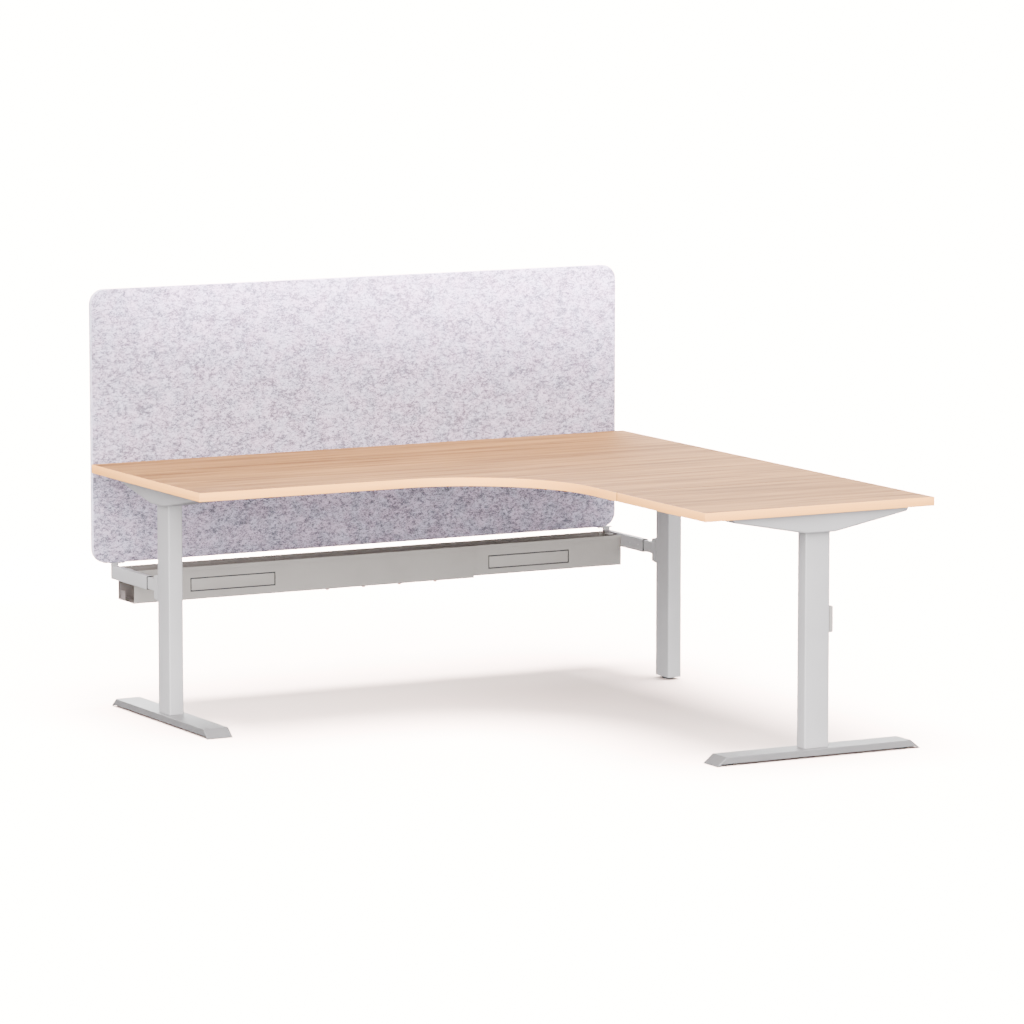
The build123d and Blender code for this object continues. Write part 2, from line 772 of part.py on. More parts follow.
def hanger(side, inset):
    """A folded plate inside the tray's end: a web on the sleeve and a flange on each wall."""
    face = side * sleeve_width / 2
    front = tray_front_y + inset + tray_wall
    back = tray_back_y - inset - tray_wall
    top = tray_top - hanger_top_gap
    web_x = sorted((face, face + side * hanger_thickness))
    reach_x = sorted((face, face + side * (hanger_thickness + hanger_flange_length)))
    plate = block(*web_x, front, back, top - hanger_height, top)
    plate += block(*reach_x, front, front + hanger_thickness, top - hanger_height, top)
    plate += block(*reach_x, back - hanger_thickness, back, top - hanger_height, top)
    ear_back = back - hanger_ear_back_distance
    plate += block(*reach_x, ear_back - hanger_ear_width, ear_back, top - hanger_ear_thickness, top)
    slot = extrude(SlotOverall(hanger_slot_length, hanger_slot_width), hanger_height)
    slot_x = face + side * (hanger_thickness + hanger_flange_length / 2)
    plate -= Pos(slot_x, ear_back - hanger_ear_width / 2, top - hanger_height / 2) * slot
    for place in hanger_screw_places(side):
        plate -= place * peg(hanger_screw_radius + screw_clearance,
                             -hanger_thickness - overcut_length, overcut_length)
    return plate


def hanger_screws(side):
    """Short screws through the hanger's web into the sleeve's wall."""
    screw = fastener(hanger_screw_radius, hanger_screw_head_radius, hanger_screw_head_height,
                     hanger_thickness + sleeve_wall)
    seat = Pos(0, 0, -hanger_thickness)
    return [place * seat * screw for place in hanger_screw_places(side)]


# Screen
def screen_screw_places(side):
    """X and Y of the screws into the screen's lower edge, beside an arm's axis."""
    y = (screen_front_y + screen_back_y) / 2
    return [(side * (screen_screw_first_distance + turn * screen_screw_pitch), y) for turn in range(2)]


def screen():
    """The felt panel, with blind holes for its screws."""
    outline = Plane.XZ * RectangleRounded(screen_width, screen_height, screen_corner_radius)
    panel = Pos(0, screen_back_y, screen_bottom + screen_height / 2) * extrude(
        outline, screen_thickness)
    for face in (panel.faces().sort_by(Axis.Y)[0], panel.faces().sort_by(Axis.Y)[-1]):
        rim = [e for e in panel.edges() if abs(e.center().Y - face.center().Y) < overcut_length / 2]
        panel = chamfer(rim, screen_edge_bevel)
    for leg_x, side in ((left_leg_x, 1), (corner_leg_x, -1)):
        for x, y in screen_screw_places(side):
            hole = peg(wood_screw_radius + screw_clearance, -overcut_length, screen_screw_bite_length)
            panel -= Pos(leg_x + x, y, screen_bottom) * hole
    return panel


def screen_bracket(side):
    """A post on the sleeve's back end and the plate under the screen."""
    sleeve_top = arm_axis_height + sleeve_height / 2
    seat = screen_bottom - screen_plate_thickness
    post = block(-sleeve_width / 2, sleeve_width / 2, sleeve_back_y - screen_post_depth,
                 sleeve_back_y, sleeve_top, seat)
    x = sorted((-side * screen_plate_outward_length, side * screen_plate_inward_length))
    plate = block(*x, screen_front_y + screen_plate_edge_distance,
                  screen_back_y - screen_plate_edge_distance, seat, screen_bottom)
    plate = chamfer(plate.edges().filter_by(Axis.Z), screen_plate_thickness)
    for x, y in screen_screw_places(side):
        plate -= Pos(x, y, seat) * peg(wood_screw_radius + screw_clearance, -overcut_length,
                                       screen_plate_thickness + overcut_length)
    return post + plate


def screen_screws(side):
    """Screws up through the plate into the felt panel."""
    screw = fastener(wood_screw_radius, wood_screw_head_radius, wood_screw_head_height,
                     screen_plate_thickness + screen_screw_bite_length - screw_clearance)
    seat = screen_bottom - screen_plate_thickness
    return [Pos(x, y, seat) * screw for x, y in screen_screw_places(side)]


def build_worktop(nodes):
    """Boards, bands, seam plates and every screw that goes up into a board."""
    wing_places = (leg_places(left_leg, wing_screw_places())
                   + leg_places(right_leg, wing_screw_places()))
    head_places = (leg_places(left_leg, head_screw_places())
                   + leg_places(right_leg, head_screw_places())
                   + leg_places(corner_leg, head_screw_places()))
    places = wing_places + head_places + seam_screw_places()
    main_places = [(x, y) for x, y in places if y > seam_y]
    return_places = [(x, y) for x, y in places if y < seam_y]
    nodes["main_top"], nodes["main_top_edge_band"] = board_and_band(main_outline(), main_places)
    nodes["return_top"], nodes["return_top_edge_band"] = board_and_band(
        return_outline(), return_places)
    nodes["seam_plates"] = seam_plates()
    nodes["worktop_screws"] = group(
        wood_screws(seam_screw_places(), seam_plate_thickness)
        + wood_screws(wing_places, wing_wall) + wood_screws(head_places, head_plate_thickness))


def build_legs(nodes, bracket_holes, column_holes):
    """The two legs on feet and the corner leg."""
    bolts, plugs, bars, plates = [], [], [], []
    for name, leg in (("left", left_leg), ("right", right_leg)):
        pad_holes = [] if name == "right" else flange_column_holes()
        nodes["foot_" + name] = leg * foot()
        bolts += [leg * bolt for bolt in foot_bolts()]
        plugs.append(leg * base_plug())
        bars += [leg * piece for piece in nut_bars()]
        nodes["column_" + name] = leg * column(foot_height, pad_holes)
        plate = leg * head_plate(wing_inner_width)
        places = leg_places(leg, head_screw_places())
        plates.append(cut_screw_holes(plate, places, head_plate_thickness))
        shell = cut_screw_holes(leg * top_bracket(), leg_places(leg, wing_screw_places()), wing_wall)
        for hole in bracket_holes[name]:
            shell -= hole
        nodes["top_bracket_" + name] = shell
        for end, x in zip(("front", "back") if name == "left" else ("inner", "outer"), glide_places()):
            nodes["glide_" + name + "_" + end] = leg * Pos(x, 0, 0) * glide(glide_pad_radius)
    nodes["foot_bolts"] = group(bolts)
    nodes["column_base_plugs"] = group(plugs)
    nodes["glide_nut_bars"] = group(bars)
    nodes["head_plates"] = group(plates)
    post = corner_leg * column(foot_skirt_height, flange_column_holes())
    for hole in column_holes:
        post -= hole
    nodes["column_corner"] = post
    nodes["column_corner_plug"] = corner_leg * corner_plug()
    nodes["glide_corner"] = corner_leg * glide(corner_glide_pad_radius)
    plate = corner_leg * head_plate(column_short)
    places = leg_places(corner_leg, head_screw_places())
    nodes["head_plate_corner"] = cut_screw_holes(plate, places, head_plate_thickness)


def build_beams(nodes):
    """Both beams, their end plates and fixings; returns the holes that others need."""
    main_start = left_leg_x + wing_width / 2
    main_end = corner_leg_x - column_short / 2
    return_start = return_leg_y + wing_width / 2
    return_end = main_leg_y - inner_beam_width / 2
    t = beam_plate_thickness
    outer, inner, screws = beam_pair(main_beam_plane, main_start + t, main_end - t)
    nodes["main_beam_outer"], nodes["main_beam_inner"] = outer, inner
    outer, inner, more = beam_pair(return_beam_plane, return_start + t, return_end - t)
    nodes["return_beam_outer"], nodes["return_beam_inner"] = outer, inner
    nodes["beam_lock_screws"] = group(screws + more)
    into_left = Plane(origin=(main_start, main_leg_y, beam_z), x_dir=(0, 1, 0), z_dir=(-1, 0, 0))
    into_right = Plane(origin=(return_leg_x, return_start, beam_z), x_dir=(1, 0, 0), z_dir=(0, -1, 0))
    into_corner, into_main = main_beam_plane(main_end), return_beam_plane(return_end)
    joints = ((into_left, beam_height, wing_wall), (into_right, beam_height, wing_wall),
              (into_corner, beam_height, column_wall), (into_main, inner_beam_height, beam_wall))
    plates, bolts, nuts = [], [], []
    for plane, height, wall in joints:
        plates.append(end_plate(plane, height))
        pair, nut_pair = end_bolts(plane, wall)
        bolts += pair
        nuts += nut_pair
    nodes["beam_end_plates"] = group(plates)
    nodes["beam_bolts"] = group(bolts)
    nodes["beam_weld_nuts"] = group(nuts)
    for hole in wall_holes(into_main, beam_wall):
        nodes["main_beam_inner"] -= hole
    holes = {"left": wall_holes(into_left, wing_wall), "right": wall_holes(into_right, wing_wall)}
    return holes, wall_holes(into_corner, column_wall)


def build_arms(nodes):
    """The arms behind the left and corner columns and the spare pad on the right column."""
    bolts, set_screw_list, caps, hanger_screw_list, screen_screw_list = [], [], [], [], []
    bushes, guides = [], []
    for name, leg, leg_x, side in (("left", left_leg, left_leg_x, 1),
                                   ("right", corner_leg, corner_leg_x, -1)):
        inset = 0 if name == "left" else tray_nest_gap
        spot = Pos(leg_x, 0, 0)
        nodes["arm_pad_" + name] = leg * arm_pad(False)
        nodes["arm_flange_" + name] = leg * arm_flange()
        nodes["arm_rail_" + name] = spot * inner_rail()
        nodes["arm_sleeve_" + name] = spot * sleeve(side)
        guides.append(spot * guide_block())
        bushes.append(spot * sleeve_bush())
        nodes["tray_hanger_" + name] = spot * hanger(side, inset)
        nodes["screen_bracket_" + name] = spot * screen_bracket(side)
        bolts += [leg * bolt for bolt in flange_bolts()]
        set_screw_list += [spot * screw for screw in set_screws(side)]
        caps.append(spot * sleeve_cap())
        hanger_screw_list += [spot * screw for screw in hanger_screws(side)]
        screen_screw_list += [spot * screw for screw in screen_screws(side)]
    nodes["arm_pad_spare"] = right_leg * arm_pad(True)
    nodes["arm_guide_blocks"] = group(guides)
    nodes["arm_bushes"] = group(bushes)
    nodes["arm_flange_bolts"] = group(bolts)
    nodes["arm_set_screws"] = group(set_screw_list)
    nodes["arm_sleeve_caps"] = group(caps)
    nodes["tray_hanger_screws"] = group(hanger_screw_list)
    nodes["screen_screws"] = group(screen_screw_list)


def build_tray(nodes):
    """The outer left section, the inner right section, their blank panels and clamp screws."""
    nodes["tray_section_left"] = tray_section(
        tray_left_x, tray_left_x + tray_section_length, tray_left_x, 0, 0)
    nodes["tray_section_right"] = tray_section(
        tray_right_x - tray_section_length, tray_right_x, tray_right_x, tray_nest_gap,
        tray_nest_floor_gap)
    nodes["tray_blank_left"] = blank_panel(tray_left_x, 1, 0)
    nodes["tray_blank_right"] = blank_panel(tray_right_x, -1, tray_nest_gap)
    nodes["tray_clamp_screws"] = tray_clamp_screws()


def main():
    """Builds every node and writes one STEP file for each."""
    nodes = {"screen_panel": screen()}
    build_worktop(nodes)
    bracket_holes, column_holes = build_beams(nodes)
    build_legs(nodes, bracket_holes, column_holes)
    build_arms(nodes)
    build_tray(nodes)
    os.makedirs("parts", exist_ok=True)
    for name, shape in nodes.items():
        export_step(shape, "parts/" + name + ".step")
    print(len(nodes), "nodes")


main()
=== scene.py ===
import math

import bmesh
import bpy
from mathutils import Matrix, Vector


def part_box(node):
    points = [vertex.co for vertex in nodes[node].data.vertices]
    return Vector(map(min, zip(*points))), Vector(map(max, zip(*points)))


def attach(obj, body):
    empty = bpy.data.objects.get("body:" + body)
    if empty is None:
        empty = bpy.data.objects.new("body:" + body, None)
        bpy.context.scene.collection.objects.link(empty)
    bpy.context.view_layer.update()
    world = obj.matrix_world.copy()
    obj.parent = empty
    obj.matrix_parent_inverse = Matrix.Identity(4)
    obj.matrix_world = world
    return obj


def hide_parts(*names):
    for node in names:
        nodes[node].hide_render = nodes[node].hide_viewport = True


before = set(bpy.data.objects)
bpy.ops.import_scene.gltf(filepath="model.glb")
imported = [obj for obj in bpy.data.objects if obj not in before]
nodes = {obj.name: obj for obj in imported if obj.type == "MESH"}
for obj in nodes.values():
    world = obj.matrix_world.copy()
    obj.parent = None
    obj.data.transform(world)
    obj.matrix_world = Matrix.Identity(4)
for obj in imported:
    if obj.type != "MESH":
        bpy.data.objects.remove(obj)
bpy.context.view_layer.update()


# The room: a pale floor that runs far back under a white studio sky, brightest low in front.
# The camera stands where the photograph was taken, with a long lens aimed slightly down.
# A soft sun lights the desk, one long lamp the screen from in front, and two lamps the floor alone.
camera_place = (-7.8463, -14.6692, 2.8530)
camera_pitch = math.radians(7.621)
camera_yaw = math.radians(28.257)
focal_pixels = 5797.76
picture_pixels = 1024
film_width = 36.0
floor_reach = 150.0
floor_tone = (0.6, 0.504, 0.468)
floor_lamp_tint = (1.0, 0.87, 0.83)
floor_sun_strength = 86.0
floor_sun_softness = math.radians(46)
floor_sun_turn = (0, 0, 0)
floor_fill_strength = 14.0
floor_fill_softness = math.radians(50)
floor_fill_turn = (math.radians(42), 0, math.radians(-25))
sky_light = 0.38
front_light = 11.5
front_place = (-0.50, -0.79, 0.36)
glow_start = 0.0
ground_share = 0.35
dimming_start = -0.3
dimming_end = 0.3
backdrop_strength = 13.5
backdrop_reach_share = 0.95
screen_lamp_size = (2.8, 0.16)
screen_lamp_spread = math.radians(13.5)
screen_lamp_power = 43.0
screen_lamp_tint = (0.97, 0.85, 1.0)
screen_lamp_tilt = math.radians(30)
screen_lamp_roll = math.radians(-4)
screen_lamp_distance = 3.0
screen_lamp_side = 0.6
screen_lamp_rise = 0.07
sun_strength = 8.5
sun_softness = math.radians(40)
sun_turn = (math.radians(-50), math.radians(22), 0)

lens = bpy.data.cameras.new("camera")
lens.sensor_width = film_width
lens.lens = focal_pixels / picture_pixels * film_width
lens.clip_end = 2 * floor_reach
camera = bpy.data.objects.new("camera", lens)
camera.location = camera_place
camera.rotation_euler = (math.pi / 2 - camera_pitch, 0, -camera_yaw)
bpy.context.collection.objects.link(camera)
bpy.context.scene.camera = camera


def adder(tree, family):
    """Two functions for a node tree: one adds a node, the other feeds a socket.

    A node's lower-case words are its settings, the others its sockets, the first ones in order.
    A socket is fed by a value, by another socket, by a node's first output or by a list of these.
    """

    def feed(socket, source):
        if isinstance(source, list):
            for each in source:
                feed(socket, each)
            return
        if isinstance(source, bpy.types.Node):
            source = next(output for output in source.outputs if not output.is_unavailable)
        if isinstance(source, bpy.types.NodeSocket):
            tree.links.new(source, socket)
        else:
            socket.default_value = source

    def add(kind, *sources, **words):
        node = tree.nodes.new(kind if "Node" in kind else family + kind)
        for word, value in words.items():
            if word.islower():
                setattr(node, word, value)
        for socket, source in zip(node.inputs, sources):
            feed(socket, source)
        for word, source in words.items():
            if not word.islower():
                feed(node.inputs[word.replace("_", " ")], source)
        return node

    return add, feed


def new_material(name):
    """A new material with its own nodes, and the two functions that add to them."""
    material = bpy.data.materials.new(name)
    material.use_nodes = True
    return material, material.node_tree.nodes, *adder(material.node_tree, "ShaderNode")


def new_piece(name, mesh):
    """Links a finished bmesh as an object at the origin."""
    data = bpy.data.meshes.new(name)
    mesh.to_mesh(data)
    mesh.free()
    made = bpy.data.objects.new(name, data)
    bpy.context.collection.objects.link(made)
    return made


def lamp(name, kind, strength, tint, turn, order="XYZ", **shape):
    """Hangs a lamp, turned about the axes in the given order."""
    light = bpy.data.lights.new(name, kind)
    light.energy = strength
    light.color = tint
    for word, value in shape.items():
        setattr(light, word, value)
    made = bpy.data.objects.new(name, light)
    made.rotation_mode = order
    made.rotation_euler = turn
    bpy.context.collection.objects.link(made)
    return made


sky = bpy.data.worlds.new("studio_sky")
sky.use_nodes = True
sky_surface = sky.node_tree.nodes["Background"]
add, feed = adder(sky.node_tree, "ShaderNode")
direction = add("TexCoord").outputs["Generated"]
toward_front = add("VectorMath", direction, front_place, operation="DOT_PRODUCT").outputs["Value"]
front_glow = add("MapRange", interpolation_type="SMOOTHSTEP", Value=toward_front, From_Min=glow_start,
                 To_Min=sky_light, To_Max=sky_light + front_light)
upward = add("SeparateXYZ", direction).outputs["Z"]
ground_dimming = add("MapRange", Value=upward, From_Min=dimming_start, From_Max=dimming_end,
                     To_Min=ground_share)
feed(sky_surface.inputs["Strength"], add("Math", front_glow, ground_dimming, operation="MULTIPLY"))
feed(sky_surface.inputs["Color"], (1, 1, 1, 1))
bpy.context.scene.world = sky

lamp("soft_sun", "SUN", sun_strength, (1, 1, 1), sun_turn, angle=sun_softness)
low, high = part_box("screen_panel")
screen_lamp = lamp("screen_lamp", "AREA", screen_lamp_power, screen_lamp_tint,
                   (math.pi / 2 - screen_lamp_tilt, 0, screen_lamp_roll), order="ZYX", shape="RECTANGLE",
                   size=screen_lamp_size[0], size_y=screen_lamp_size[1], spread=screen_lamp_spread)
screen_lamp.location = (screen_lamp_side,
                        low.y - screen_lamp_distance * math.cos(screen_lamp_tilt),
                        high.z + screen_lamp_rise + screen_lamp_distance * math.sin(screen_lamp_tilt))
screen_lamp.visible_camera = False

floor_mesh = bmesh.new()
bmesh.ops.create_grid(floor_mesh, x_segments=4, y_segments=4, size=floor_reach)
floor = new_piece("studio_floor", floor_mesh)
floor_paint, parts, add, feed = new_material("studio_floor")
one_sided = add("MixShader", add("NewGeometry").outputs["Backfacing"],
                add("BsdfDiffuse", Color=(*floor_tone, 1)), add("BsdfTransparent"))
feed(parts["Material Output"].inputs["Surface"], one_sided)
floor.data.materials.append(floor_paint)

lit_floor = bpy.data.collections.new("lit_floor")
lit_floor.objects.link(floor)
for name, strength, softness, turn in (
        ("floor_sun", floor_sun_strength, floor_sun_softness, floor_sun_turn),
        ("floor_fill", floor_fill_strength, floor_fill_softness, floor_fill_turn)):
    floor_lamp = lamp(name, "SUN", strength, floor_lamp_tint, turn, angle=softness)
    floor_lamp.light_linking.receiver_collection = lit_floor

backdrop_mesh = bmesh.new()
bmesh.ops.create_uvsphere(backdrop_mesh, u_segments=48, v_segments=24,
                          radius=floor_reach * backdrop_reach_share)
backdrop = new_piece("studio_backdrop", backdrop_mesh)
backdrop_paint, parts, add, feed = new_material("studio_backdrop")
feed(parts["Material Output"].inputs["Surface"], add("Emission", Strength=backdrop_strength))
backdrop.data.materials.append(backdrop_paint)
backdrop.visible_shadow = False
for stage_piece in (floor, backdrop):
    stage_piece.visible_diffuse = False
    stage_piece.visible_glossy = False


# Worktop: two chipboards with a fine beech-grained laminate and a paler tape glued round their edges.
# The main board sweeps into the return in a concave quarter circle, and the two meet in a straight seam,
# where the tape is thin and the raw board shows; its tone is painted far darker than bare chipboard, as
# painted shade in the gap.
main_depth = 0.750
return_width = 0.750
inner_corner_radius = 0.400
inner_corner_steps = 96
board_corner_radius = 0.0025
board_corner_steps = 3
tape_round = 0.0008
tape_round_middle_share = 0.3
seam_gap = 0.0014
seam_tape_share = 0.15
seam_corner_share = 0.36
seam_face_limit = 0.2
laminate_bevel = 0.0002
sharp_angle = math.radians(28)
grain_stops = (0.37, 0.60)
grain_gloss_range = (0.55, 0.68)
grain_relief = (0.12, 0.0002)
grain_reflection = 0.04


def ramp(add, source, stops, colours):
    """A colour ramp that a source runs through."""
    node = add("ValToRGB", source)
    marks = node.color_ramp.elements
    while len(marks) < len(stops):
        marks.new(0.5)
    for mark, stop, colour in zip(marks, stops, colours):
        mark.position = stop
        mark.color = (*colour, 1)
    return node


def roughen(add, feed, surface, pattern, gloss_range, relief):
    """Lets one pattern make a surface's uneven gloss and its relief, a strength and a depth."""
    rough = add("MapRange", Value=pattern, To_Min=gloss_range[0], To_Max=gloss_range[1])
    feed(surface.inputs["Roughness"], rough)
    bump = add("Bump", Strength=relief[0], Distance=relief[1], Height=pattern)
    feed(surface.inputs["Normal"], bump)


def grain_material(name, pale, dark, streak_scale, board_scale, fine_share):
    """Fine wood grain in object coordinates, with long streaks along the low scale."""
    material, parts, add, feed = new_material(name)
    surface = parts["Principled BSDF"]
    place = add("TexCoord").outputs["Object"]
    streaks = add("Mapping", Vector=place, Scale=streak_scale)
    figure = add("Mapping", Vector=place, Scale=board_scale)
    fine = add("TexNoise", Vector=streaks, Scale=1.0, Detail=5.0, Roughness=0.6, Distortion=0.15)
    broad = add("TexNoise", Vector=figure, Scale=1.0, Detail=5.0, Roughness=0.58, Distortion=0.25)
    blend = add("Mix", data_type="FLOAT", Factor=fine_share, A=broad, B=fine)
    feed(surface.inputs["Base Color"], ramp(add, blend, grain_stops, (dark, pale)))
    roughen(add, feed, surface, fine, grain_gloss_range, grain_relief)
    surface.inputs["Specular IOR Level"].default_value = grain_reflection
    return material


def rounded(corners, radius, steps):
    """Rounds the corners of a counter-clockwise outline; a third value is each one's radius share."""
    points = []
    for turn, (x, y, soft) in enumerate(corners):
        here = Vector((x, y))
        if not soft:
            points.append(here)
            continue
        reach = radius * soft
        before = (Vector(corners[turn - 1][:2]) - here).normalized()
        after = (Vector(corners[(turn + 1) % len(corners)][:2]) - here).normalized()
        centre = here + (before + after) * reach
        for step in range(steps + 1):
            angle = math.pi / 2 * step / steps
            points.append(centre - after * reach * math.cos(angle) - before * reach * math.sin(angle))
    return points


def loft(name, loops, ring=False):
    """A skin through equal loops of points, closed on itself or with its two ends filled."""
    mesh = bmesh.new()
    rows = [[mesh.verts.new(point) for point in loop] for loop in loops]
    for low, high in zip(rows, rows[1:] + rows[:1] if ring else rows[1:]):
        for turn in range(len(low)):
            following = (turn + 1) % len(low)
            mesh.faces.new((low[turn], low[following], high[following], high[turn]))
    if not ring:
        mesh.faces.new(list(reversed(rows[0])))
        mesh.faces.new(rows[-1])
    bmesh.ops.recalc_face_normals(mesh, faces=mesh.faces)
    return new_piece(name, mesh)


def settle(made, slot, body, *replaced):
    """Smooths a finished piece, hangs it on its body and hides the CAD nodes that it stands for."""
    made.data.shade_smooth()
    made.data.set_sharp_from_angle(angle=sharp_angle)
    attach(made, body)
    if replaced:
        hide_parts(*replaced)


def finish_piece(made, material, slot, body, *replaced):
    """Gives a piece its finish and settles it."""
    made.data.materials.append(material)
    settle(made, slot, body, *replaced)


def finish_faces(made, others, chosen, choice):
    """Gives the faces that a choice picks one finish and the others another."""
    made.data.materials.append(others)
    made.data.materials.append(chosen)
    for face in made.data.polygons:
        face.material_index = int(choice(face))


def main_board_edge(inset):
    """The main board's edge, moved inwards."""
    low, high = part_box("main_top_edge_band")
    left, right = low.x + inset, high.x - inset
    seam, back = low.y + seam_gap / 2 + inset * seam_tape_share, high.y - inset
    inner, front = high.x - return_width, high.y - main_depth
    radius = inner_corner_radius + inset
    middle = (inner - inner_corner_radius, front - inner_corner_radius)
    sweep = []
    for step in range(inner_corner_steps + 1):
        angle = math.pi / 2 * (1 - step / inner_corner_steps)
        sweep.append((middle[0] + radius * math.cos(angle), middle[1] + radius * math.sin(angle), 0))
    corners = [(inner + inset, seam, seam_corner_share), (right, seam, seam_corner_share),
               (right, back, 1), (left, back, 1), (left, front + inset, 1)]
    return rounded(corners + sweep, board_corner_radius, board_corner_steps)


def return_board_edge(inset):
    """The return board's edge, moved inwards."""
    low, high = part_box("return_top_edge_band")
    seam = high.y - seam_gap / 2 - inset * seam_tape_share
    corners = [(low.x + inset, low.y + inset, 1), (high.x - inset, low.y + inset, 1),
               (high.x - inset, seam, seam_corner_share), (low.x + inset, seam, seam_corner_share)]
    return rounded(corners, board_corner_radius, board_corner_steps)


def board_rims(edge, profile):
    """A board's outline at each inset and height of a profile."""
    return [[(point.x, point.y, z) for point in edge(inset)] for inset, z in profile]


def at_seam(face):
    """Whether a face of the tape looks into the seam."""
    near = abs(face.center.y - seam_line) < seam_gap
    return near and abs(face.normal.y) > seam_face_limit


laminate = grain_material(
    "worktop_laminate", pale=(0.37, 0.177, 0.062), dark=(0.148, 0.066, 0.0225),
    streak_scale=(5.0, 130.0, 60.0), board_scale=(1.5, 30.0, 8.0), fine_share=0.40)
edge_tape = grain_material(
    "edge_band", pale=(1.0, 0.455, 0.130), dark=(0.93, 0.40, 0.105),
    streak_scale=(6.0, 6.0, 420.0), board_scale=(3.0, 3.0, 60.0), fine_share=0.5)
# The raw board in the seam, painted much darker than bare chipboard: painted shade for the shade in the gap
# between the boards.
seam_board_with_painted_shade = grain_material(
    "raw_chipboard", pale=(0.05, 0.03, 0.018), dark=(0.03, 0.018, 0.011),
    streak_scale=(300.0, 300.0, 300.0), board_scale=(90.0, 90.0, 90.0), fine_share=0.5)
seam_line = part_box("main_top_edge_band")[0].y
for board, edge in (("main_top", main_board_edge), ("return_top", return_board_edge)):
    low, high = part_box(board)
    band = low.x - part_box(board + "_edge_band")[0].x
    middle = tape_round * tape_round_middle_share
    core = loft(board + "_laminate", board_rims(edge, (
        (band, low.z), (band, high.z - laminate_bevel), (band + laminate_bevel, high.z))))
    finish_piece(core, laminate, "worktop_laminate", "frame", board)
    tape = loft(board + "_edge_tape", board_rims(edge, (
        (band, high.z - laminate_bevel), (tape_round, high.z), (middle, high.z - middle),
        (0, high.z - tape_round), (0, low.z + tape_round), (middle, low.z + middle),
        (tape_round, low.z), (band, low.z))), ring=True)
    finish_faces(tape, edge_tape, seam_board_with_painted_shade, at_seam)
    settle(tape, "edge_band", "frame", board + "_edge_band")


# Steelwork: welded and pressed sheet steel with a satin light grey powder coat.
# The coat has a very fine orange peel and hardly varies in tone.
# Columns, beams, rails and sleeves are drawn tubes with rounded corners and sawn ends.
tube_corner_steps = 6
least_corner_share = 0.25
saw_bevel = 0.0003
coat_stops = (0.35, 0.65)
coat_cloud_scale = 9.0
coat_relief = 0.25


def paint_material(name, light, shade, gloss_range, peel_scale, peel_depth, metallic=0.0):
    """A coated, plated or moulded surface: two near tones, uneven gloss and a fine peel."""
    material, parts, add, feed = new_material(name)
    surface = parts["Principled BSDF"]
    place = add("TexCoord").outputs["Object"]
    cloud = add("TexNoise", Vector=place, Scale=coat_cloud_scale, Detail=3.0)
    peel = add("TexNoise", Vector=place, Scale=peel_scale, Detail=2.0)
    feed(surface.inputs["Base Color"], ramp(add, cloud, coat_stops, (shade, light)))
    roughen(add, feed, surface, peel, gloss_range, (coat_relief, peel_depth))
    surface.inputs["Metallic"].default_value = metallic
    return material


def coat(finish, *names):
    """Gives CAD nodes that keep their shape their finish."""
    for name in names:
        for place in nodes[name].material_slots:
            place.material = finish


def box_rim(box, axis, along, corner, inset=0):
    """The rounded outline of a bar that fills a box, moved inwards, at a place along its axis."""
    across = [turn for turn in range(3) if turn != axis]
    middle = (box[0] + box[1]) / 2
    width, depth = ((box[1][turn] - box[0][turn]) / 2 - inset for turn in across)
    loop = []
    for point in rounded([(-width, -depth, 1), (width, -depth, 1), (width, depth, 1), (-width, depth, 1)],
                         max(corner - inset, corner * least_corner_share), tube_corner_steps):
        spot = [0.0, 0.0, 0.0]
        spot[axis] = along
        spot[across[0]] = middle[across[0]] + point.x
        spot[across[1]] = middle[across[1]] + point.y
        loop.append(spot)
    return loop


def steel_tube(name, box, axis, wall, corner):
    """A tube that fills a box and runs along one axis (0, 1 or 2), its sawn ends broken."""
    start, end = box[0][axis], box[1][axis]
    profile = ((saw_bevel, start), (0, start + saw_bevel), (0, end - saw_bevel), (saw_bevel, end),
               (wall, end), (wall, start))
    return loft(name, [box_rim(box, axis, along, corner, inset) for inset, along in profile], ring=True)


frame_paint = paint_material(
    "frame_paint", light=(0.322, 0.307, 0.311), shade=(0.302, 0.288, 0.292),
    gloss_range=(0.38, 0.5), peel_scale=700.0, peel_depth=0.00004)
column_wall = 0.002
column_corner = 0.004
for leg in ("left", "right", "corner"):
    column = steel_tube("column_tube_" + leg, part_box("column_" + leg), 2, column_wall, column_corner)
    finish_piece(column, frame_paint, "frame_paint", "frame", "column_" + leg)
coat(frame_paint, "head_plates", "head_plate_corner", "column_base_plugs")


# Top brackets: gull-wing shells pressed from sheet, deep at the column and shallow at the tips.
# They hang under the boards by screws through their lips, in the frame's grey coat.
coat(frame_paint, "top_bracket_left", "top_bracket_right")


# Feet: pressed channels with sloping ends, bolted up into the columns from below.
# Their coat is a darker copy of the columns' grey, painted shade for the shade that falls on them under the
# boards; it is also a little glossier.
# Painted shade: the same grey as the frame, darkened to stand for the shade under the boards.
foot_paint = paint_material(
    "foot_paint", light=(0.143, 0.135, 0.137), shade=(0.126, 0.119, 0.121),
    gloss_range=(0.34, 0.46), peel_scale=700.0, peel_depth=0.00004)
coat(foot_paint, "foot_left", "foot_right")


# Telescopic beams under the boards: an inner tube that slides in an outer one, with end plates.
# They carry the boards between the legs and are powder coated like them.
beam_wall = 0.002
outer_beam_corner = 0.004
inner_beam_corner = 0.002
for beam, axis in (("main_beam", 0), ("return_beam", 1)):
    for part, corner in (("outer", outer_beam_corner), ("inner", inner_beam_corner)):
        node = beam + "_" + part
        made = steel_tube(beam + "_tube_" + part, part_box(node), axis, beam_wall, corner)
        finish_piece(made, frame_paint, "frame_paint", "frame", node)
coat(frame_paint, "beam_end_plates")


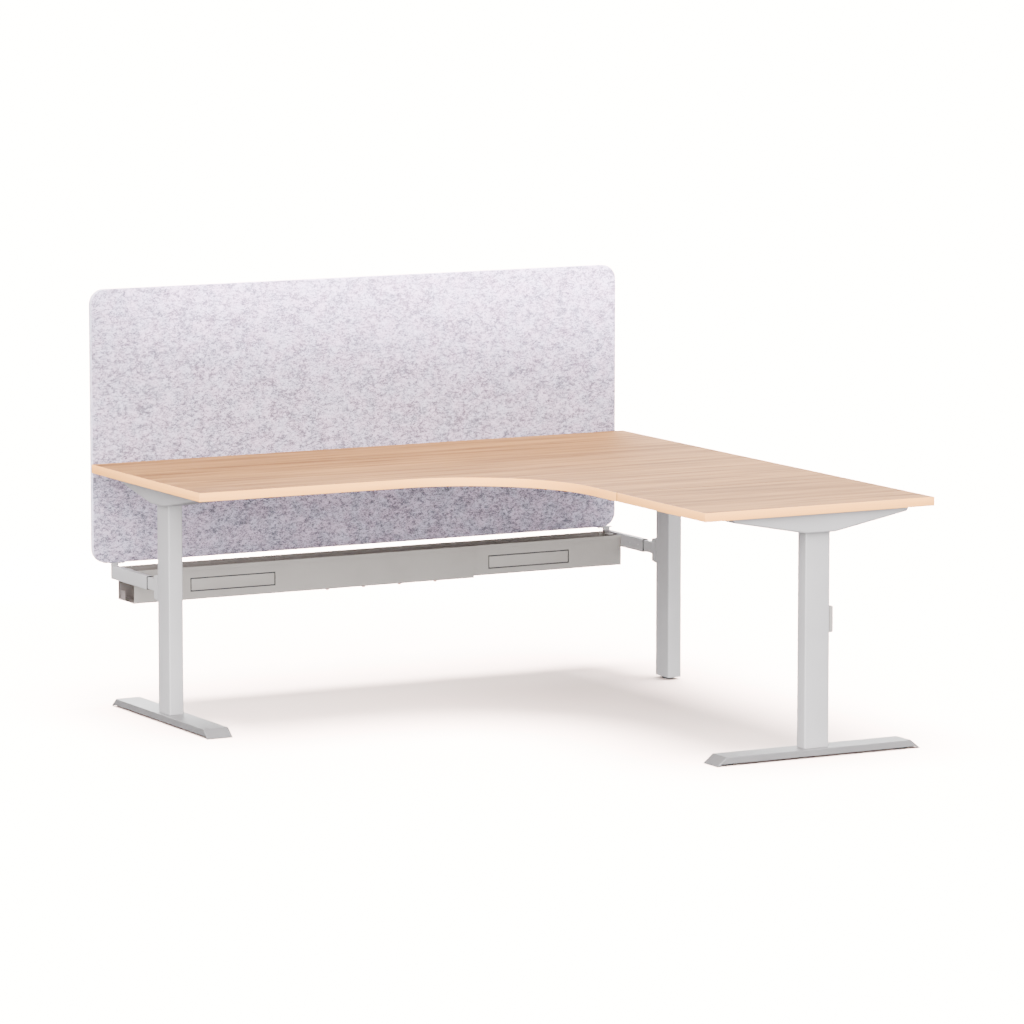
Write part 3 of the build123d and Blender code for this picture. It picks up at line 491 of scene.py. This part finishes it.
# Arms: a rail on each flange, drawn into a sleeve that carries tray and screen.
# The sleeve's mouth shows the wall of the tube and the black bush inside it.
rail_wall = 0.0015
rail_corner = 0.0015
sleeve_wall = 0.0016
sleeve_corner = 0.0025
bush_length = 0.023
bush_play = 0.0003
collar_length = 0.003
collar_inset = 0.0004
collar_round = 0.0006
for side in ("left", "right"):
    rail = steel_tube("arm_rail_tube_" + side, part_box("arm_rail_" + side), 1, rail_wall, rail_corner)
    finish_piece(rail, frame_paint, "frame_paint", "frame", "arm_rail_" + side)
    sleeve = steel_tube("arm_sleeve_tube_" + side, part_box("arm_sleeve_" + side), 1,
                        sleeve_wall, sleeve_corner)
    finish_piece(sleeve, frame_paint, "frame_paint", "screen_carriage", "arm_sleeve_" + side)
black_plastic = paint_material(
    "glide_plastic", light=(0.012, 0.012, 0.0125), shade=(0.007, 0.007, 0.007),
    gloss_range=(0.45, 0.6), peel_scale=1800.0, peel_depth=0.00003)
for side, stood_for in (("left", ("arm_bushes",)), ("right", ())):
    sleeve_box, rail_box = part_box("arm_sleeve_" + side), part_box("arm_rail_" + side)
    sleeve_height, rail_height = (high.z - low.z for low, high in (sleeve_box, rail_box))
    bore = (sleeve_height - rail_height) / 2 - bush_play
    mouth = sleeve_box[0].y
    profile = ((collar_inset + collar_round, mouth - collar_length),
               (collar_inset, mouth - collar_length + collar_round), (collar_inset, mouth),
               (sleeve_wall, mouth), (sleeve_wall, mouth + bush_length),
               (bore, mouth + bush_length), (bore, mouth - collar_length))
    bush = loft("arm_bush_collar_" + side,
                [box_rim(sleeve_box, 1, along, sleeve_corner, inset) for inset, along in profile], ring=True)
    finish_piece(bush, black_plastic, "glide_plastic", "screen_carriage", *stood_for)
coat(black_plastic, "arm_guide_blocks", "arm_sleeve_caps", "column_corner_plug")
coat(frame_paint, "arm_pad_left", "arm_pad_right", "arm_flange_left", "arm_flange_right",
     "screen_bracket_left", "screen_bracket_right")


# Weld beads round the ends of tubes that are welded to a plate, under the same coat.
# Each bead is a row of small overlapping scales that follows the tube's rim.
bead_radius = 0.0016
bead_pitch = 0.0011


def node_tree(name, **inputs):
    """A new geometry tree with named inputs; returns it with its input sockets and its adder."""
    tree = bpy.data.node_groups.new(name, "GeometryNodeTree")
    tree.interface.new_socket("Geometry", in_out="INPUT", socket_type="NodeSocketGeometry")
    tree.interface.new_socket("Geometry", in_out="OUTPUT", socket_type="NodeSocketGeometry")
    for label, kind in inputs.items():
        tree.interface.new_socket(label.replace("_", " "), in_out="INPUT", socket_type="NodeSocket" + kind)
    add = adder(tree, "GeometryNode")[0]
    return tree, add("NodeGroupInput").outputs, add


def finished(tree, given, add, pieces):
    """Ends a tree: its instances become real and take the finish that the tree is given."""
    painted = add("SetMaterial", add("RealizeInstances", pieces), Material=given["Finish"])
    add("NodeGroupOutput", painted)
    return tree


def grown(base, tree, **inputs):
    """Runs a geometry tree on an object and leaves a plain mesh in its place."""
    modifier = base.modifiers.new(tree.name, "NODES")
    modifier.node_group = tree
    for socket in tree.interface.items_tree:
        key = socket.name.replace(" ", "_")
        if socket.in_out == "INPUT" and key in inputs:
            modifier[socket.identifier] = inputs[key]
    bpy.context.view_layer.update()
    seen = base.evaluated_get(bpy.context.evaluated_depsgraph_get())
    made = bpy.data.meshes.new_from_object(seen)
    base.modifiers.remove(modifier)
    old = base.data
    base.data = made
    bpy.data.meshes.remove(old)
    return base


def weld_bead_tree():
    """Small balls set close together along a mesh of edges, so that they overlap."""
    tree, given, add = node_tree("weld_bead", Bead_Radius="Float", Bead_Pitch="Float", Finish="Material")
    path = add("MeshToCurve", given["Geometry"])
    spaced = add("ResampleCurve", path, mode="LENGTH", Length=given["Bead Pitch"])
    scale = add("MeshIcoSphere", given["Bead Radius"], Subdivisions=1)
    return finished(tree, given, add, add("InstanceOnPoints", spaced, Instance=scale))


def rim_wire(name, loops):
    """Closed wires of edges, one for each loop of points."""
    mesh = bmesh.new()
    for loop in loops:
        row = [mesh.verts.new(point) for point in loop]
        for turn, vertex in enumerate(row):
            mesh.edges.new((vertex, row[(turn + 1) % len(row)]))
    return new_piece(name, mesh)


weld_loops = []
for node, axis, end, corner in (
        ("main_beam_outer", 0, 0, outer_beam_corner), ("main_beam_inner", 0, 1, inner_beam_corner),
        ("return_beam_outer", 1, 0, outer_beam_corner), ("return_beam_inner", 1, 1, inner_beam_corner),
        ("arm_rail_left", 1, 0, rail_corner), ("arm_rail_right", 1, 0, rail_corner),
        ("column_corner", 2, 1, column_corner)):
    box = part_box(node)
    weld_loops.append(box_rim(box, axis, box[end][axis], corner))
welds = grown(rim_wire("weld_beads", weld_loops), weld_bead_tree(),
              Bead_Radius=bead_radius, Bead_Pitch=bead_pitch, Finish=frame_paint)
settle(welds, "frame_paint", "frame")


# Screws: zinc-plated pan heads with a recessed drive; the four that clamp the tray are brass plated.
# Each stands where its CAD screw stands. In a row, the shortest shank serves for all its holes.
head_sides = 24
head_dome_share = 0.35
head_face_share = 0.80
recess_share = 0.52
recess_depth_share = 0.6
recess_taper_share = 0.92
same_point_distance = 1e-6
same_level_distance = 2e-5
level_digits = 5
zinc_plate = paint_material(
    "zinc_fixings", light=(0.66, 0.66, 0.65), shade=(0.5, 0.5, 0.49),
    gloss_range=(0.25, 0.42), peel_scale=400.0, peel_depth=0.00002, metallic=1.0)
brass_plate = paint_material(
    "clamp_screw_brass", light=(0.52, 0.12, 0.028), shade=(0.42, 0.09, 0.02),
    gloss_range=(0.3, 0.42), peel_scale=400.0, peel_depth=0.00002, metallic=0.2)


def loose_parts(node):
    """The separate solids of a CAD node, each as a list of its points."""
    mesh = bmesh.new()
    mesh.from_mesh(nodes[node].data)
    bmesh.ops.remove_doubles(mesh, verts=mesh.verts, dist=same_point_distance)
    met, parts = set(), []
    for first in mesh.verts:
        if first in met:
            continue
        met.add(first)
        reached, part = [first], []
        while reached:
            vertex = reached.pop()
            part.append(vertex.co.copy())
            for edge in vertex.link_edges:
                other = edge.other_vert(vertex)
                if other not in met:
                    met.add(other)
                    reached.append(other)
        parts.append(part)
    mesh.free()
    return parts


def screw_facts(points, axis):
    """A CAD screw's seat, the way its head faces, and its head and shank sizes."""
    lows = [min(point[turn] for point in points) for turn in range(3)]
    highs = [max(point[turn] for point in points) for turn in range(3)]
    if axis is None:
        spans = [high - low for low, high in zip(lows, highs)]
        axis = spans.index(max(spans))
    levels = sorted({round(point[axis], level_digits) for point in points})
    across = [turn for turn in range(3) if turn != axis]
    centre = Vector([(high + low) / 2 for low, high in zip(lows, highs)])

    def reach(place):
        ring = [point for point in points if abs(point[axis] - place) < same_level_distance]
        return max(math.hypot(*(point[turn] - centre[turn] for turn in across)) for point in ring)

    facing = Vector((0, 0, 0))
    if reach(levels[0]) > reach(levels[-1]):
        facing[axis], seat, face, tip = -1, levels[1], levels[0], levels[-1]
    else:
        facing[axis], seat, face, tip = 1, levels[-2], levels[-1], levels[0]
    centre[axis] = seat
    return centre, facing, reach(face), abs(face - seat), reach(tip), abs(seat - tip)


def times(add, value, share):
    """A value times a share."""
    return add("ShaderNodeMath", value, share, operation="MULTIPLY")


def lifted(add, geometry, selection, height, share):
    """Pulls the chosen faces up by a height, then scales them; returns skin and new top."""
    pull = add("ExtrudeMesh", geometry, selection, mode="FACES", Offset_Scale=height, Individual=False)
    size = add("ScaleElements", pull, pull.outputs["Top"], share)
    return size, pull.outputs["Top"]


def screw_tree():
    """A screw at every point: domed head, recessed drive and plain shank, turned to its aim."""
    tree, given, add = node_tree(
        "pan_head_screws", Head_Radius="Float", Head_Height="Float", Shank_Radius="Float",
        Shank_Length="Float", Finish="Material")
    height, length = given["Head Height"], given["Shank Length"]
    head = add("MeshCylinder", Vertices=head_sides, Radius=given["Head Radius"],
               Depth=times(add, height, 1 - head_dome_share))
    skin, top = lifted(add, head, head.outputs["Top"], times(add, height, head_dome_share),
                       head_face_share)
    skin, top = lifted(add, skin, top, 0, recess_share / head_face_share)
    skin, top = lifted(add, skin, top, times(add, height, -recess_depth_share), recess_taper_share)
    rise = add("ShaderNodeCombineXYZ", Z=times(add, height, (1 - head_dome_share) / 2))
    raised = add("Transform", skin, Translation=rise)
    shank = add("MeshCylinder", Vertices=head_sides // 2, Radius=given["Shank Radius"], Depth=length)
    drop = add("ShaderNodeCombineXYZ", Z=times(add, length, -1 / 2))
    sunk = add("Transform", shank, Translation=drop)
    screw = add("JoinGeometry", [sunk, raised])
    aim = add("InputNamedAttribute", data_type="FLOAT_VECTOR", Name="aim")
    turn = add("FunctionNodeAlignRotationToVector", axis="Z", Vector=aim)
    set_out = add("InstanceOnPoints", given["Geometry"], Instance=screw, Rotation=turn)
    return finished(tree, given, add, set_out)


screw_maker = screw_tree()
for node, body, finish, slot, axis in (
        ("worktop_screws", "frame", zinc_plate, "zinc_fixings", 2),
        ("foot_bolts", "frame", zinc_plate, "zinc_fixings", 2),
        ("beam_bolts", "frame", zinc_plate, "zinc_fixings", None),
        ("beam_lock_screws", "frame", zinc_plate, "zinc_fixings", 2),
        ("arm_flange_bolts", "frame", zinc_plate, "zinc_fixings", 1),
        ("tray_hanger_screws", "screen_carriage", zinc_plate, "zinc_fixings", 0),
        ("screen_screws", "screen_carriage", zinc_plate, "zinc_fixings", 2),
        ("tray_clamp_screws", "screen_carriage", brass_plate, "clamp_screw_brass", 2)):
    facts = [screw_facts(part, axis) for part in loose_parts(node)]
    seats = bmesh.new()
    aim_layer = seats.verts.layers.float_vector.new("aim")
    for centre, facing, *_ in facts:
        seats.verts.new(centre)[aim_layer] = facing
    head_radius, head_height, shank_radius, shank_length = map(min, zip(*(fact[2:] for fact in facts)))
    row = grown(new_piece(node + "_row", seats), screw_maker, Head_Radius=head_radius,
                Head_Height=head_height, Shank_Radius=shank_radius, Shank_Length=shank_length,
                Finish=finish)
    settle(row, slot, body, node)
coat(zinc_plate, "beam_weld_nuts", "seam_plates", "glide_nut_bars", "arm_set_screws")


# Levelling glides: a moulded black pad with a fluted grip, on a zinc-plated threaded stud.
# Four screw into the nut bars of the feet, and a smaller one into the plug of the corner column.
pad_height = 0.0072
pad_round = 0.0015
pad_base_share = 0.94
pad_flutes = 20
flute_steps = 6
flute_depth_share = 0.035
pad_well_share = 0.5
pad_well_depth = 0.0008
pad_well_taper_share = 0.9
stud_radius = 0.004
stud_sides = 20
thread_depth = 0.0004
thread_pitch = 0.00125
thread_sides = 3


def glide_pad_tree():
    """A round pad whose rim waves in and out, with broken edges and a shallow well on top."""
    tree, given, add = node_tree(
        "glide_pad", Radius="Float", Height="Float", Round="Float", Flutes="Int", Flute_Depth="Float",
        Finish="Material")
    base = add("MeshCone", Vertices=times(add, given["Flutes"], flute_steps), Depth=given["Round"],
               Radius_Top=given["Radius"], Radius_Bottom=times(add, given["Radius"], pad_base_share))
    place = add("InputPosition")
    flat = add("ShaderNodeSeparateXYZ", place)
    around = add("ShaderNodeMath", flat.outputs["Y"], flat.outputs["X"], operation="ARCTAN2")
    turned = add("ShaderNodeMath", around, given["Flutes"], operation="MULTIPLY")
    wave = add("ShaderNodeMath", turned, operation="COSINE")
    ripple = add("ShaderNodeMath", wave, 1, operation="SUBTRACT")
    drawn_in = add("ShaderNodeMath", ripple, times(add, given["Flute Depth"], 1 / 2), 1,
                   operation="MULTIPLY_ADD")
    moved = add("ShaderNodeVectorMath", place, operation="SCALE", Scale=drawn_in)
    fluted = add("SetPosition", base, Position=moved)
    straight = add("ShaderNodeMath", given["Round"], -2, given["Height"], operation="MULTIPLY_ADD")
    skin, top = lifted(add, fluted, base.outputs["Top"], straight, 1)
    skin, top = lifted(add, skin, top, given["Round"], pad_base_share)
    skin, top = lifted(add, skin, top, 0, pad_well_share)
    skin, top = lifted(add, skin, top, times(add, given["Height"], -pad_well_depth / pad_height),
                       pad_well_taper_share)
    return finished(tree, given, add, add("InstanceOnPoints", given["Geometry"], Instance=skin))


def threaded_stud_tree():
    """A stud with a rolled thread: a plain core and one long ridge wound round it."""
    tree, given, add = node_tree(
        "threaded_stud", Radius="Float", Length="Float", Thread_Depth="Float", Pitch="Float",
        Finish="Material")
    length, depth = given["Length"], given["Thread Depth"]
    core_radius = add("ShaderNodeMath", given["Radius"], depth, operation="SUBTRACT")
    core = add("MeshCylinder", Vertices=stud_sides, Radius=core_radius, Depth=length)
    half = add("ShaderNodeCombineXYZ", Z=times(add, length, 1 / 2))
    raised = add("Transform", core, Translation=half)
    turns = add("ShaderNodeMath", length, given["Pitch"], operation="DIVIDE")
    wound = add("CurveSpiral", Resolution=stud_sides, Rotations=turns, Start_Radius=core_radius,
                End_Radius=core_radius, Height=length)
    ridge = add("CurvePrimitiveCircle", Resolution=thread_sides, Radius=depth)
    thread = add("CurveToMesh", wound, ridge, Fill_Caps=True)
    stud = add("JoinGeometry", [raised, thread])
    return finished(tree, given, add, add("InstanceOnPoints", given["Geometry"], Instance=stud))


def one_point(name, place):
    """An object with a single point, for a tree to build on."""
    mesh = bmesh.new()
    mesh.verts.new(place)
    return new_piece(name, mesh)


pad_maker, stud_maker = glide_pad_tree(), threaded_stud_tree()
for spot in ("left_front", "left_back", "corner", "right_inner", "right_outer"):
    glide = "glide_" + spot
    low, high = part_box(glide)
    centre = (low + high) / 2
    stud_start = low.z + pad_height - pad_well_depth
    pad = grown(one_point("glide_pad_" + spot, (centre.x, centre.y, low.z)), pad_maker,
                Radius=(high.x - low.x) / 2, Height=pad_height, Round=pad_round, Flutes=pad_flutes,
                Flute_Depth=flute_depth_share, Finish=black_plastic)
    settle(pad, "glide_plastic", glide, glide)
    stud = grown(one_point("glide_stud_" + spot, (centre.x, centre.y, stud_start)), stud_maker,
                 Radius=stud_radius, Length=high.z - stud_start - thread_depth,
                 Thread_Depth=thread_depth, Pitch=thread_pitch, Finish=zinc_plate)
    settle(stud, "zinc_fixings", glide)


# Cable tray: two folded steel troughs, one drawn into the other and clamped by the brass screws.
# Each front wall has a plastic blank panel, clipped flush into a rim that closes its opening; the rim is
# black, which also stands as painted shade in the slit round the blank.
blank_rim_width = 0.004
blank_slit = 0.0038
blank_corner = 0.002
blank_corner_steps = 4
blank_thickness = 0.0015
blank_edge_round = 0.0004
blank_edge_middle = blank_edge_round / 3
rim_hold = 0.003
tray_hem = 0.0015
inside_margin = 0.0008
# Painted shade: the darker colour that the faces inside the trough take, for the shade that falls in it.
trough_painted_shade = (0.15, 0.128, 0.120)
tray_paint = paint_material(
    "tray_paint", light=(0.242, 0.219, 0.204), shade=(0.227, 0.205, 0.191),
    gloss_range=(0.4, 0.52), peel_scale=700.0, peel_depth=0.00004)
cover_plastic = paint_material(
    "cover_plastic", light=(0.247, 0.224, 0.209), shade=(0.233, 0.211, 0.197),
    gloss_range=(0.5, 0.62), peel_scale=1500.0, peel_depth=0.00003)


def trough_paint_with_painted_shade(node):
    """The tray's paint, with painted shade: a darker tone on the faces inside the trough, where shade falls.
    """
    material = tray_paint.copy()
    material.name = node + "_paint"
    base_colour = material.node_tree.nodes["Principled BSDF"].inputs["Base Color"]
    add, feed = adder(material.node_tree, "ShaderNode")
    low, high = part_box(node)
    axes = add("SeparateXYZ", add("TexCoord").outputs["Object"])
    # The mask of the faces inside the trough, which take the painted shade.
    inside = 1
    for axis, kind, limit in (("Y", "GREATER_THAN", low.y + tray_hem + inside_margin),
                              ("Y", "LESS_THAN", high.y - inside_margin),
                              ("Z", "GREATER_THAN", low.z + inside_margin)):
        test = add("Math", axes.outputs[axis], limit, operation=kind)
        inside = add("Math", test, inside, operation="MULTIPLY")
    feed(base_colour, add("Mix", data_type="RGBA", Factor=inside, A=base_colour.links[0].from_socket,
                          B=(*trough_painted_shade, 1)))
    return material


def upright_rim(box, radius, steps, inset, y):
    """The rounded outline of an upright panel that fills a box, moved inwards, at a depth."""
    low, high = box
    corners = [(low.x + inset, low.z + inset, 1), (high.x - inset, low.z + inset, 1),
               (high.x - inset, high.z - inset, 1), (low.x + inset, high.z - inset, 1)]
    return [(point.x, y, point.y) for point in rounded(corners, radius, steps)]


def blank_rims(box, profile):
    """A blank's outline at each inset and depth of a profile."""
    return [upright_rim(box, blank_corner, blank_corner_steps, inset, box[0].y + depth)
            for inset, depth in profile]


slit = blank_rim_width + blank_slit
for side in ("left", "right"):
    blank = "tray_blank_" + side
    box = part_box(blank)
    back = box[1].y - box[0].y
    cover = loft("tray_blank_cover_" + side, blank_rims(box, (
        (slit + blank_edge_round, 0), (slit + blank_edge_middle, blank_edge_middle),
        (slit, blank_edge_round), (slit, blank_thickness))))
    finish_piece(cover, cover_plastic, "cover_plastic", "screen_carriage", blank)
    # Painted shade in part: the rim behind the slit is black so that the slit round the blank shows as dark
    # as shade.
    rim = loft("tray_blank_rim_" + side, blank_rims(box, (
        (0, blank_thickness), (0, back - blank_edge_round), (blank_edge_round, back),
        (slit + rim_hold, back), (slit + rim_hold, blank_thickness))), ring=True)
    finish_piece(rim, black_plastic, "glide_plastic", "screen_carriage")
coat(trough_paint_with_painted_shade("tray_section_left"), "tray_section_left")
coat(trough_paint_with_painted_shade("tray_section_right"), "tray_section_right")
coat(tray_paint, "tray_hanger_left", "tray_hanger_right")
coat(cover_plastic, "arm_pad_spare")


# Felt screen: a pressed sheet of marled polyester felt, cut with soft edges and round corners.
# Light and dark fibres lie mostly level in it; loose ones stand a little proud of both faces.
felt_corner = 0.045
felt_corner_steps = 20
felt_edge_round = 0.0025
felt_edge_steps = 4
edge_face_limit = 0.5
felt_light = (0.51, 0.430, 0.545)
felt_middle = (0.275, 0.232, 0.293)
felt_dark = (0.115, 0.098, 0.125)
# Painted light: the edge faces take a paler copy of the felt, lighter for the light that falls on them from
# the side.
painted_light_edge_pale = (0.70, 0.63, 0.75)
painted_light_edge_deep = (0.45, 0.40, 0.50)
felt_stops = (0.43, 0.49, 0.55)
felt_strokes = (
    {"turn": 0.18, "scale": (85, 85, 150), "detail": 2.0, "share": 0.34},
    {"turn": -0.32, "scale": (160, 160, 290), "detail": 2.0, "share": 0.26},
    {"turn": 0.0, "scale": (26, 26, 36), "detail": 2.0, "share": 0.14},
    {"turn": 0.1, "scale": (340, 340, 430), "detail": 1.0, "share": 0.26})
tint_stops = (0.38, 0.62)
tint_cloud_scale = 22.0
cool_tint = (0.93, 0.985, 1.0)
warm_tint = (1.0, 0.95, 0.98)
felt_gloss_range = (0.85, 1.0)
felt_relief = (0.55, 0.0012)
felt_reflection = 0.1
felt_sheen = 0.15
fibre_density = 5200.0
fibre_length = 0.0085
fibre_radius = 0.00032
fibre_sides = 3
fibre_slope = 0.5
fibre_size_range = (0.4, 1.3)
fibre_stops = (0.4, 0.6)
fibre_cloud_scale = 60.0
fibre_gloss_range = (0.8, 1.0)
fibre_relief = (0.2, 0.0001)
flat_face_limit = 0.98
fibre_kinds = {"dark": {"seed": 3, "light": (0.20, 0.18, 0.235), "shade": (0.14, 0.125, 0.165)},
               "light": {"seed": 8, "light": (0.58, 0.51, 0.62), "shade": (0.48, 0.42, 0.52)}}


def felt_material(name, dark, middle, light):
    """Marled felt: two crossing sets of level strokes, blotches, fine fuzz and a faint tint."""
    material, parts, add, feed = new_material(name)
    surface = parts["Principled BSDF"]
    place = add("TexCoord").outputs["Object"]
    sums = 0
    for strokes in felt_strokes:
        spread = add("Mapping", place, Rotation=(0, strokes["turn"], 0), Scale=strokes["scale"])
        noise = add("TexNoise", spread, Scale=1.0, Detail=strokes["detail"], Roughness=0.65,
                    Distortion=0.5)
        sums = add("Math", noise, strokes["share"], sums, operation="MULTIPLY_ADD")
    marl = ramp(add, sums, felt_stops, (dark, middle, light))
    cloud = add("TexNoise", place, Scale=tint_cloud_scale, Detail=3.0)
    tint = ramp(add, cloud, tint_stops, (cool_tint, warm_tint))
    mixed = add("Mix", data_type="RGBA", blend_type="MULTIPLY", Factor=1.0, A=marl, B=tint)
    feed(surface.inputs["Base Color"], mixed)
    roughen(add, feed, surface, sums, felt_gloss_range, felt_relief)
    surface.inputs["Specular IOR Level"].default_value = felt_reflection
    surface.inputs["Sheen Weight"].default_value = felt_sheen
    return material


felt = felt_material("screen_felt", felt_dark, felt_middle, felt_light)
# Painted light: a paler felt for the edge faces of the screen.
painted_light_edge_felt = felt_material("screen_felt_edge", painted_light_edge_deep, painted_light_edge_pale, painted_light_edge_pale)
screen_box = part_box("screen_panel")
front_rims, back_rims = [], []
for step in range(felt_edge_steps + 1):
    angle = math.pi / 2 * step / felt_edge_steps
    inset = felt_edge_round * (1 - math.sin(angle))
    depth = felt_edge_round * (1 - math.cos(angle))
    for rims, y in ((front_rims, screen_box[0].y + depth), (back_rims, screen_box[1].y - depth)):
        rims.append(upright_rim(screen_box, felt_corner - inset, felt_corner_steps, inset, y))
screen = loft("felt_screen", front_rims + back_rims[::-1])
finish_faces(screen, felt, painted_light_edge_felt, lambda face: abs(face.normal.y) < edge_face_limit)
settle(screen, "screen_felt", "screen_carriage", "screen_panel")


def fibre_tree():
    """Thin tapering slivers strewn over the two flat faces, most of them nearly level."""
    tree, given, add = node_tree(
        "felt_fibres", Density="Float", Length="Float", Radius="Float", Seed="Int", Finish="Material")
    across = add("ShaderNodeSeparateXYZ", add("InputNormal")).outputs["Y"]
    flat = add("ShaderNodeMath", across, operation="ABSOLUTE")
    broad_face = add("ShaderNodeMath", flat, flat_face_limit, operation="GREATER_THAN")
    strewn = add("DistributePointsOnFaces", given["Geometry"], Selection=broad_face,
                 Density=given["Density"], Seed=given["Seed"])
    sliver = add("MeshCone", Vertices=fibre_sides, Radius_Bottom=given["Radius"], Depth=given["Length"])
    one_way, other_way = (
        add("FunctionNodeRandomValue", data_type="FLOAT", Min=-fibre_slope, Max=fibre_slope, Seed=seed)
        for seed in (0, 1))
    slope = add("ShaderNodeMath", one_way, other_way, operation="ADD")
    lie = add("ShaderNodeCombineXYZ", X=add("ShaderNodeMath", slope, operation="COSINE"),
              Z=add("ShaderNodeMath", slope, operation="SINE"))
    turn = add("FunctionNodeAlignRotationToVector", axis="Z", Vector=lie)
    size = add("FunctionNodeRandomValue", data_type="FLOAT", Min=fibre_size_range[0],
               Max=fibre_size_range[1])
    laid = add("InstanceOnPoints", strewn, Instance=sliver, Rotation=turn, Scale=size)
    return finished(tree, given, add, laid)


def fibre_material(name, light, shade):
    """One fibre colour, uneven along the sheet."""
    material, parts, add, feed = new_material(name)
    surface = parts["Principled BSDF"]
    cloud = add("TexNoise", add("TexCoord").outputs["Object"], Scale=fibre_cloud_scale, Detail=2.0)
    feed(surface.inputs["Base Color"], ramp(add, cloud, fibre_stops, (shade, light)))
    roughen(add, feed, surface, cloud, fibre_gloss_range, fibre_relief)
    return material


fibre_maker = fibre_tree()
for name, kind in fibre_kinds.items():
    base = bpy.data.objects.new("felt_fibres_" + name, screen.data.copy())
    base.data.materials.clear()
    bpy.context.collection.objects.link(base)
    fibres = grown(base, fibre_maker, Density=fibre_density, Length=fibre_length, Radius=fibre_radius,
                   Seed=kind["seed"],
                   Finish=fibre_material("felt_fibre_" + name, kind["light"], kind["shade"]))
    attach(fibres, "screen_carriage")
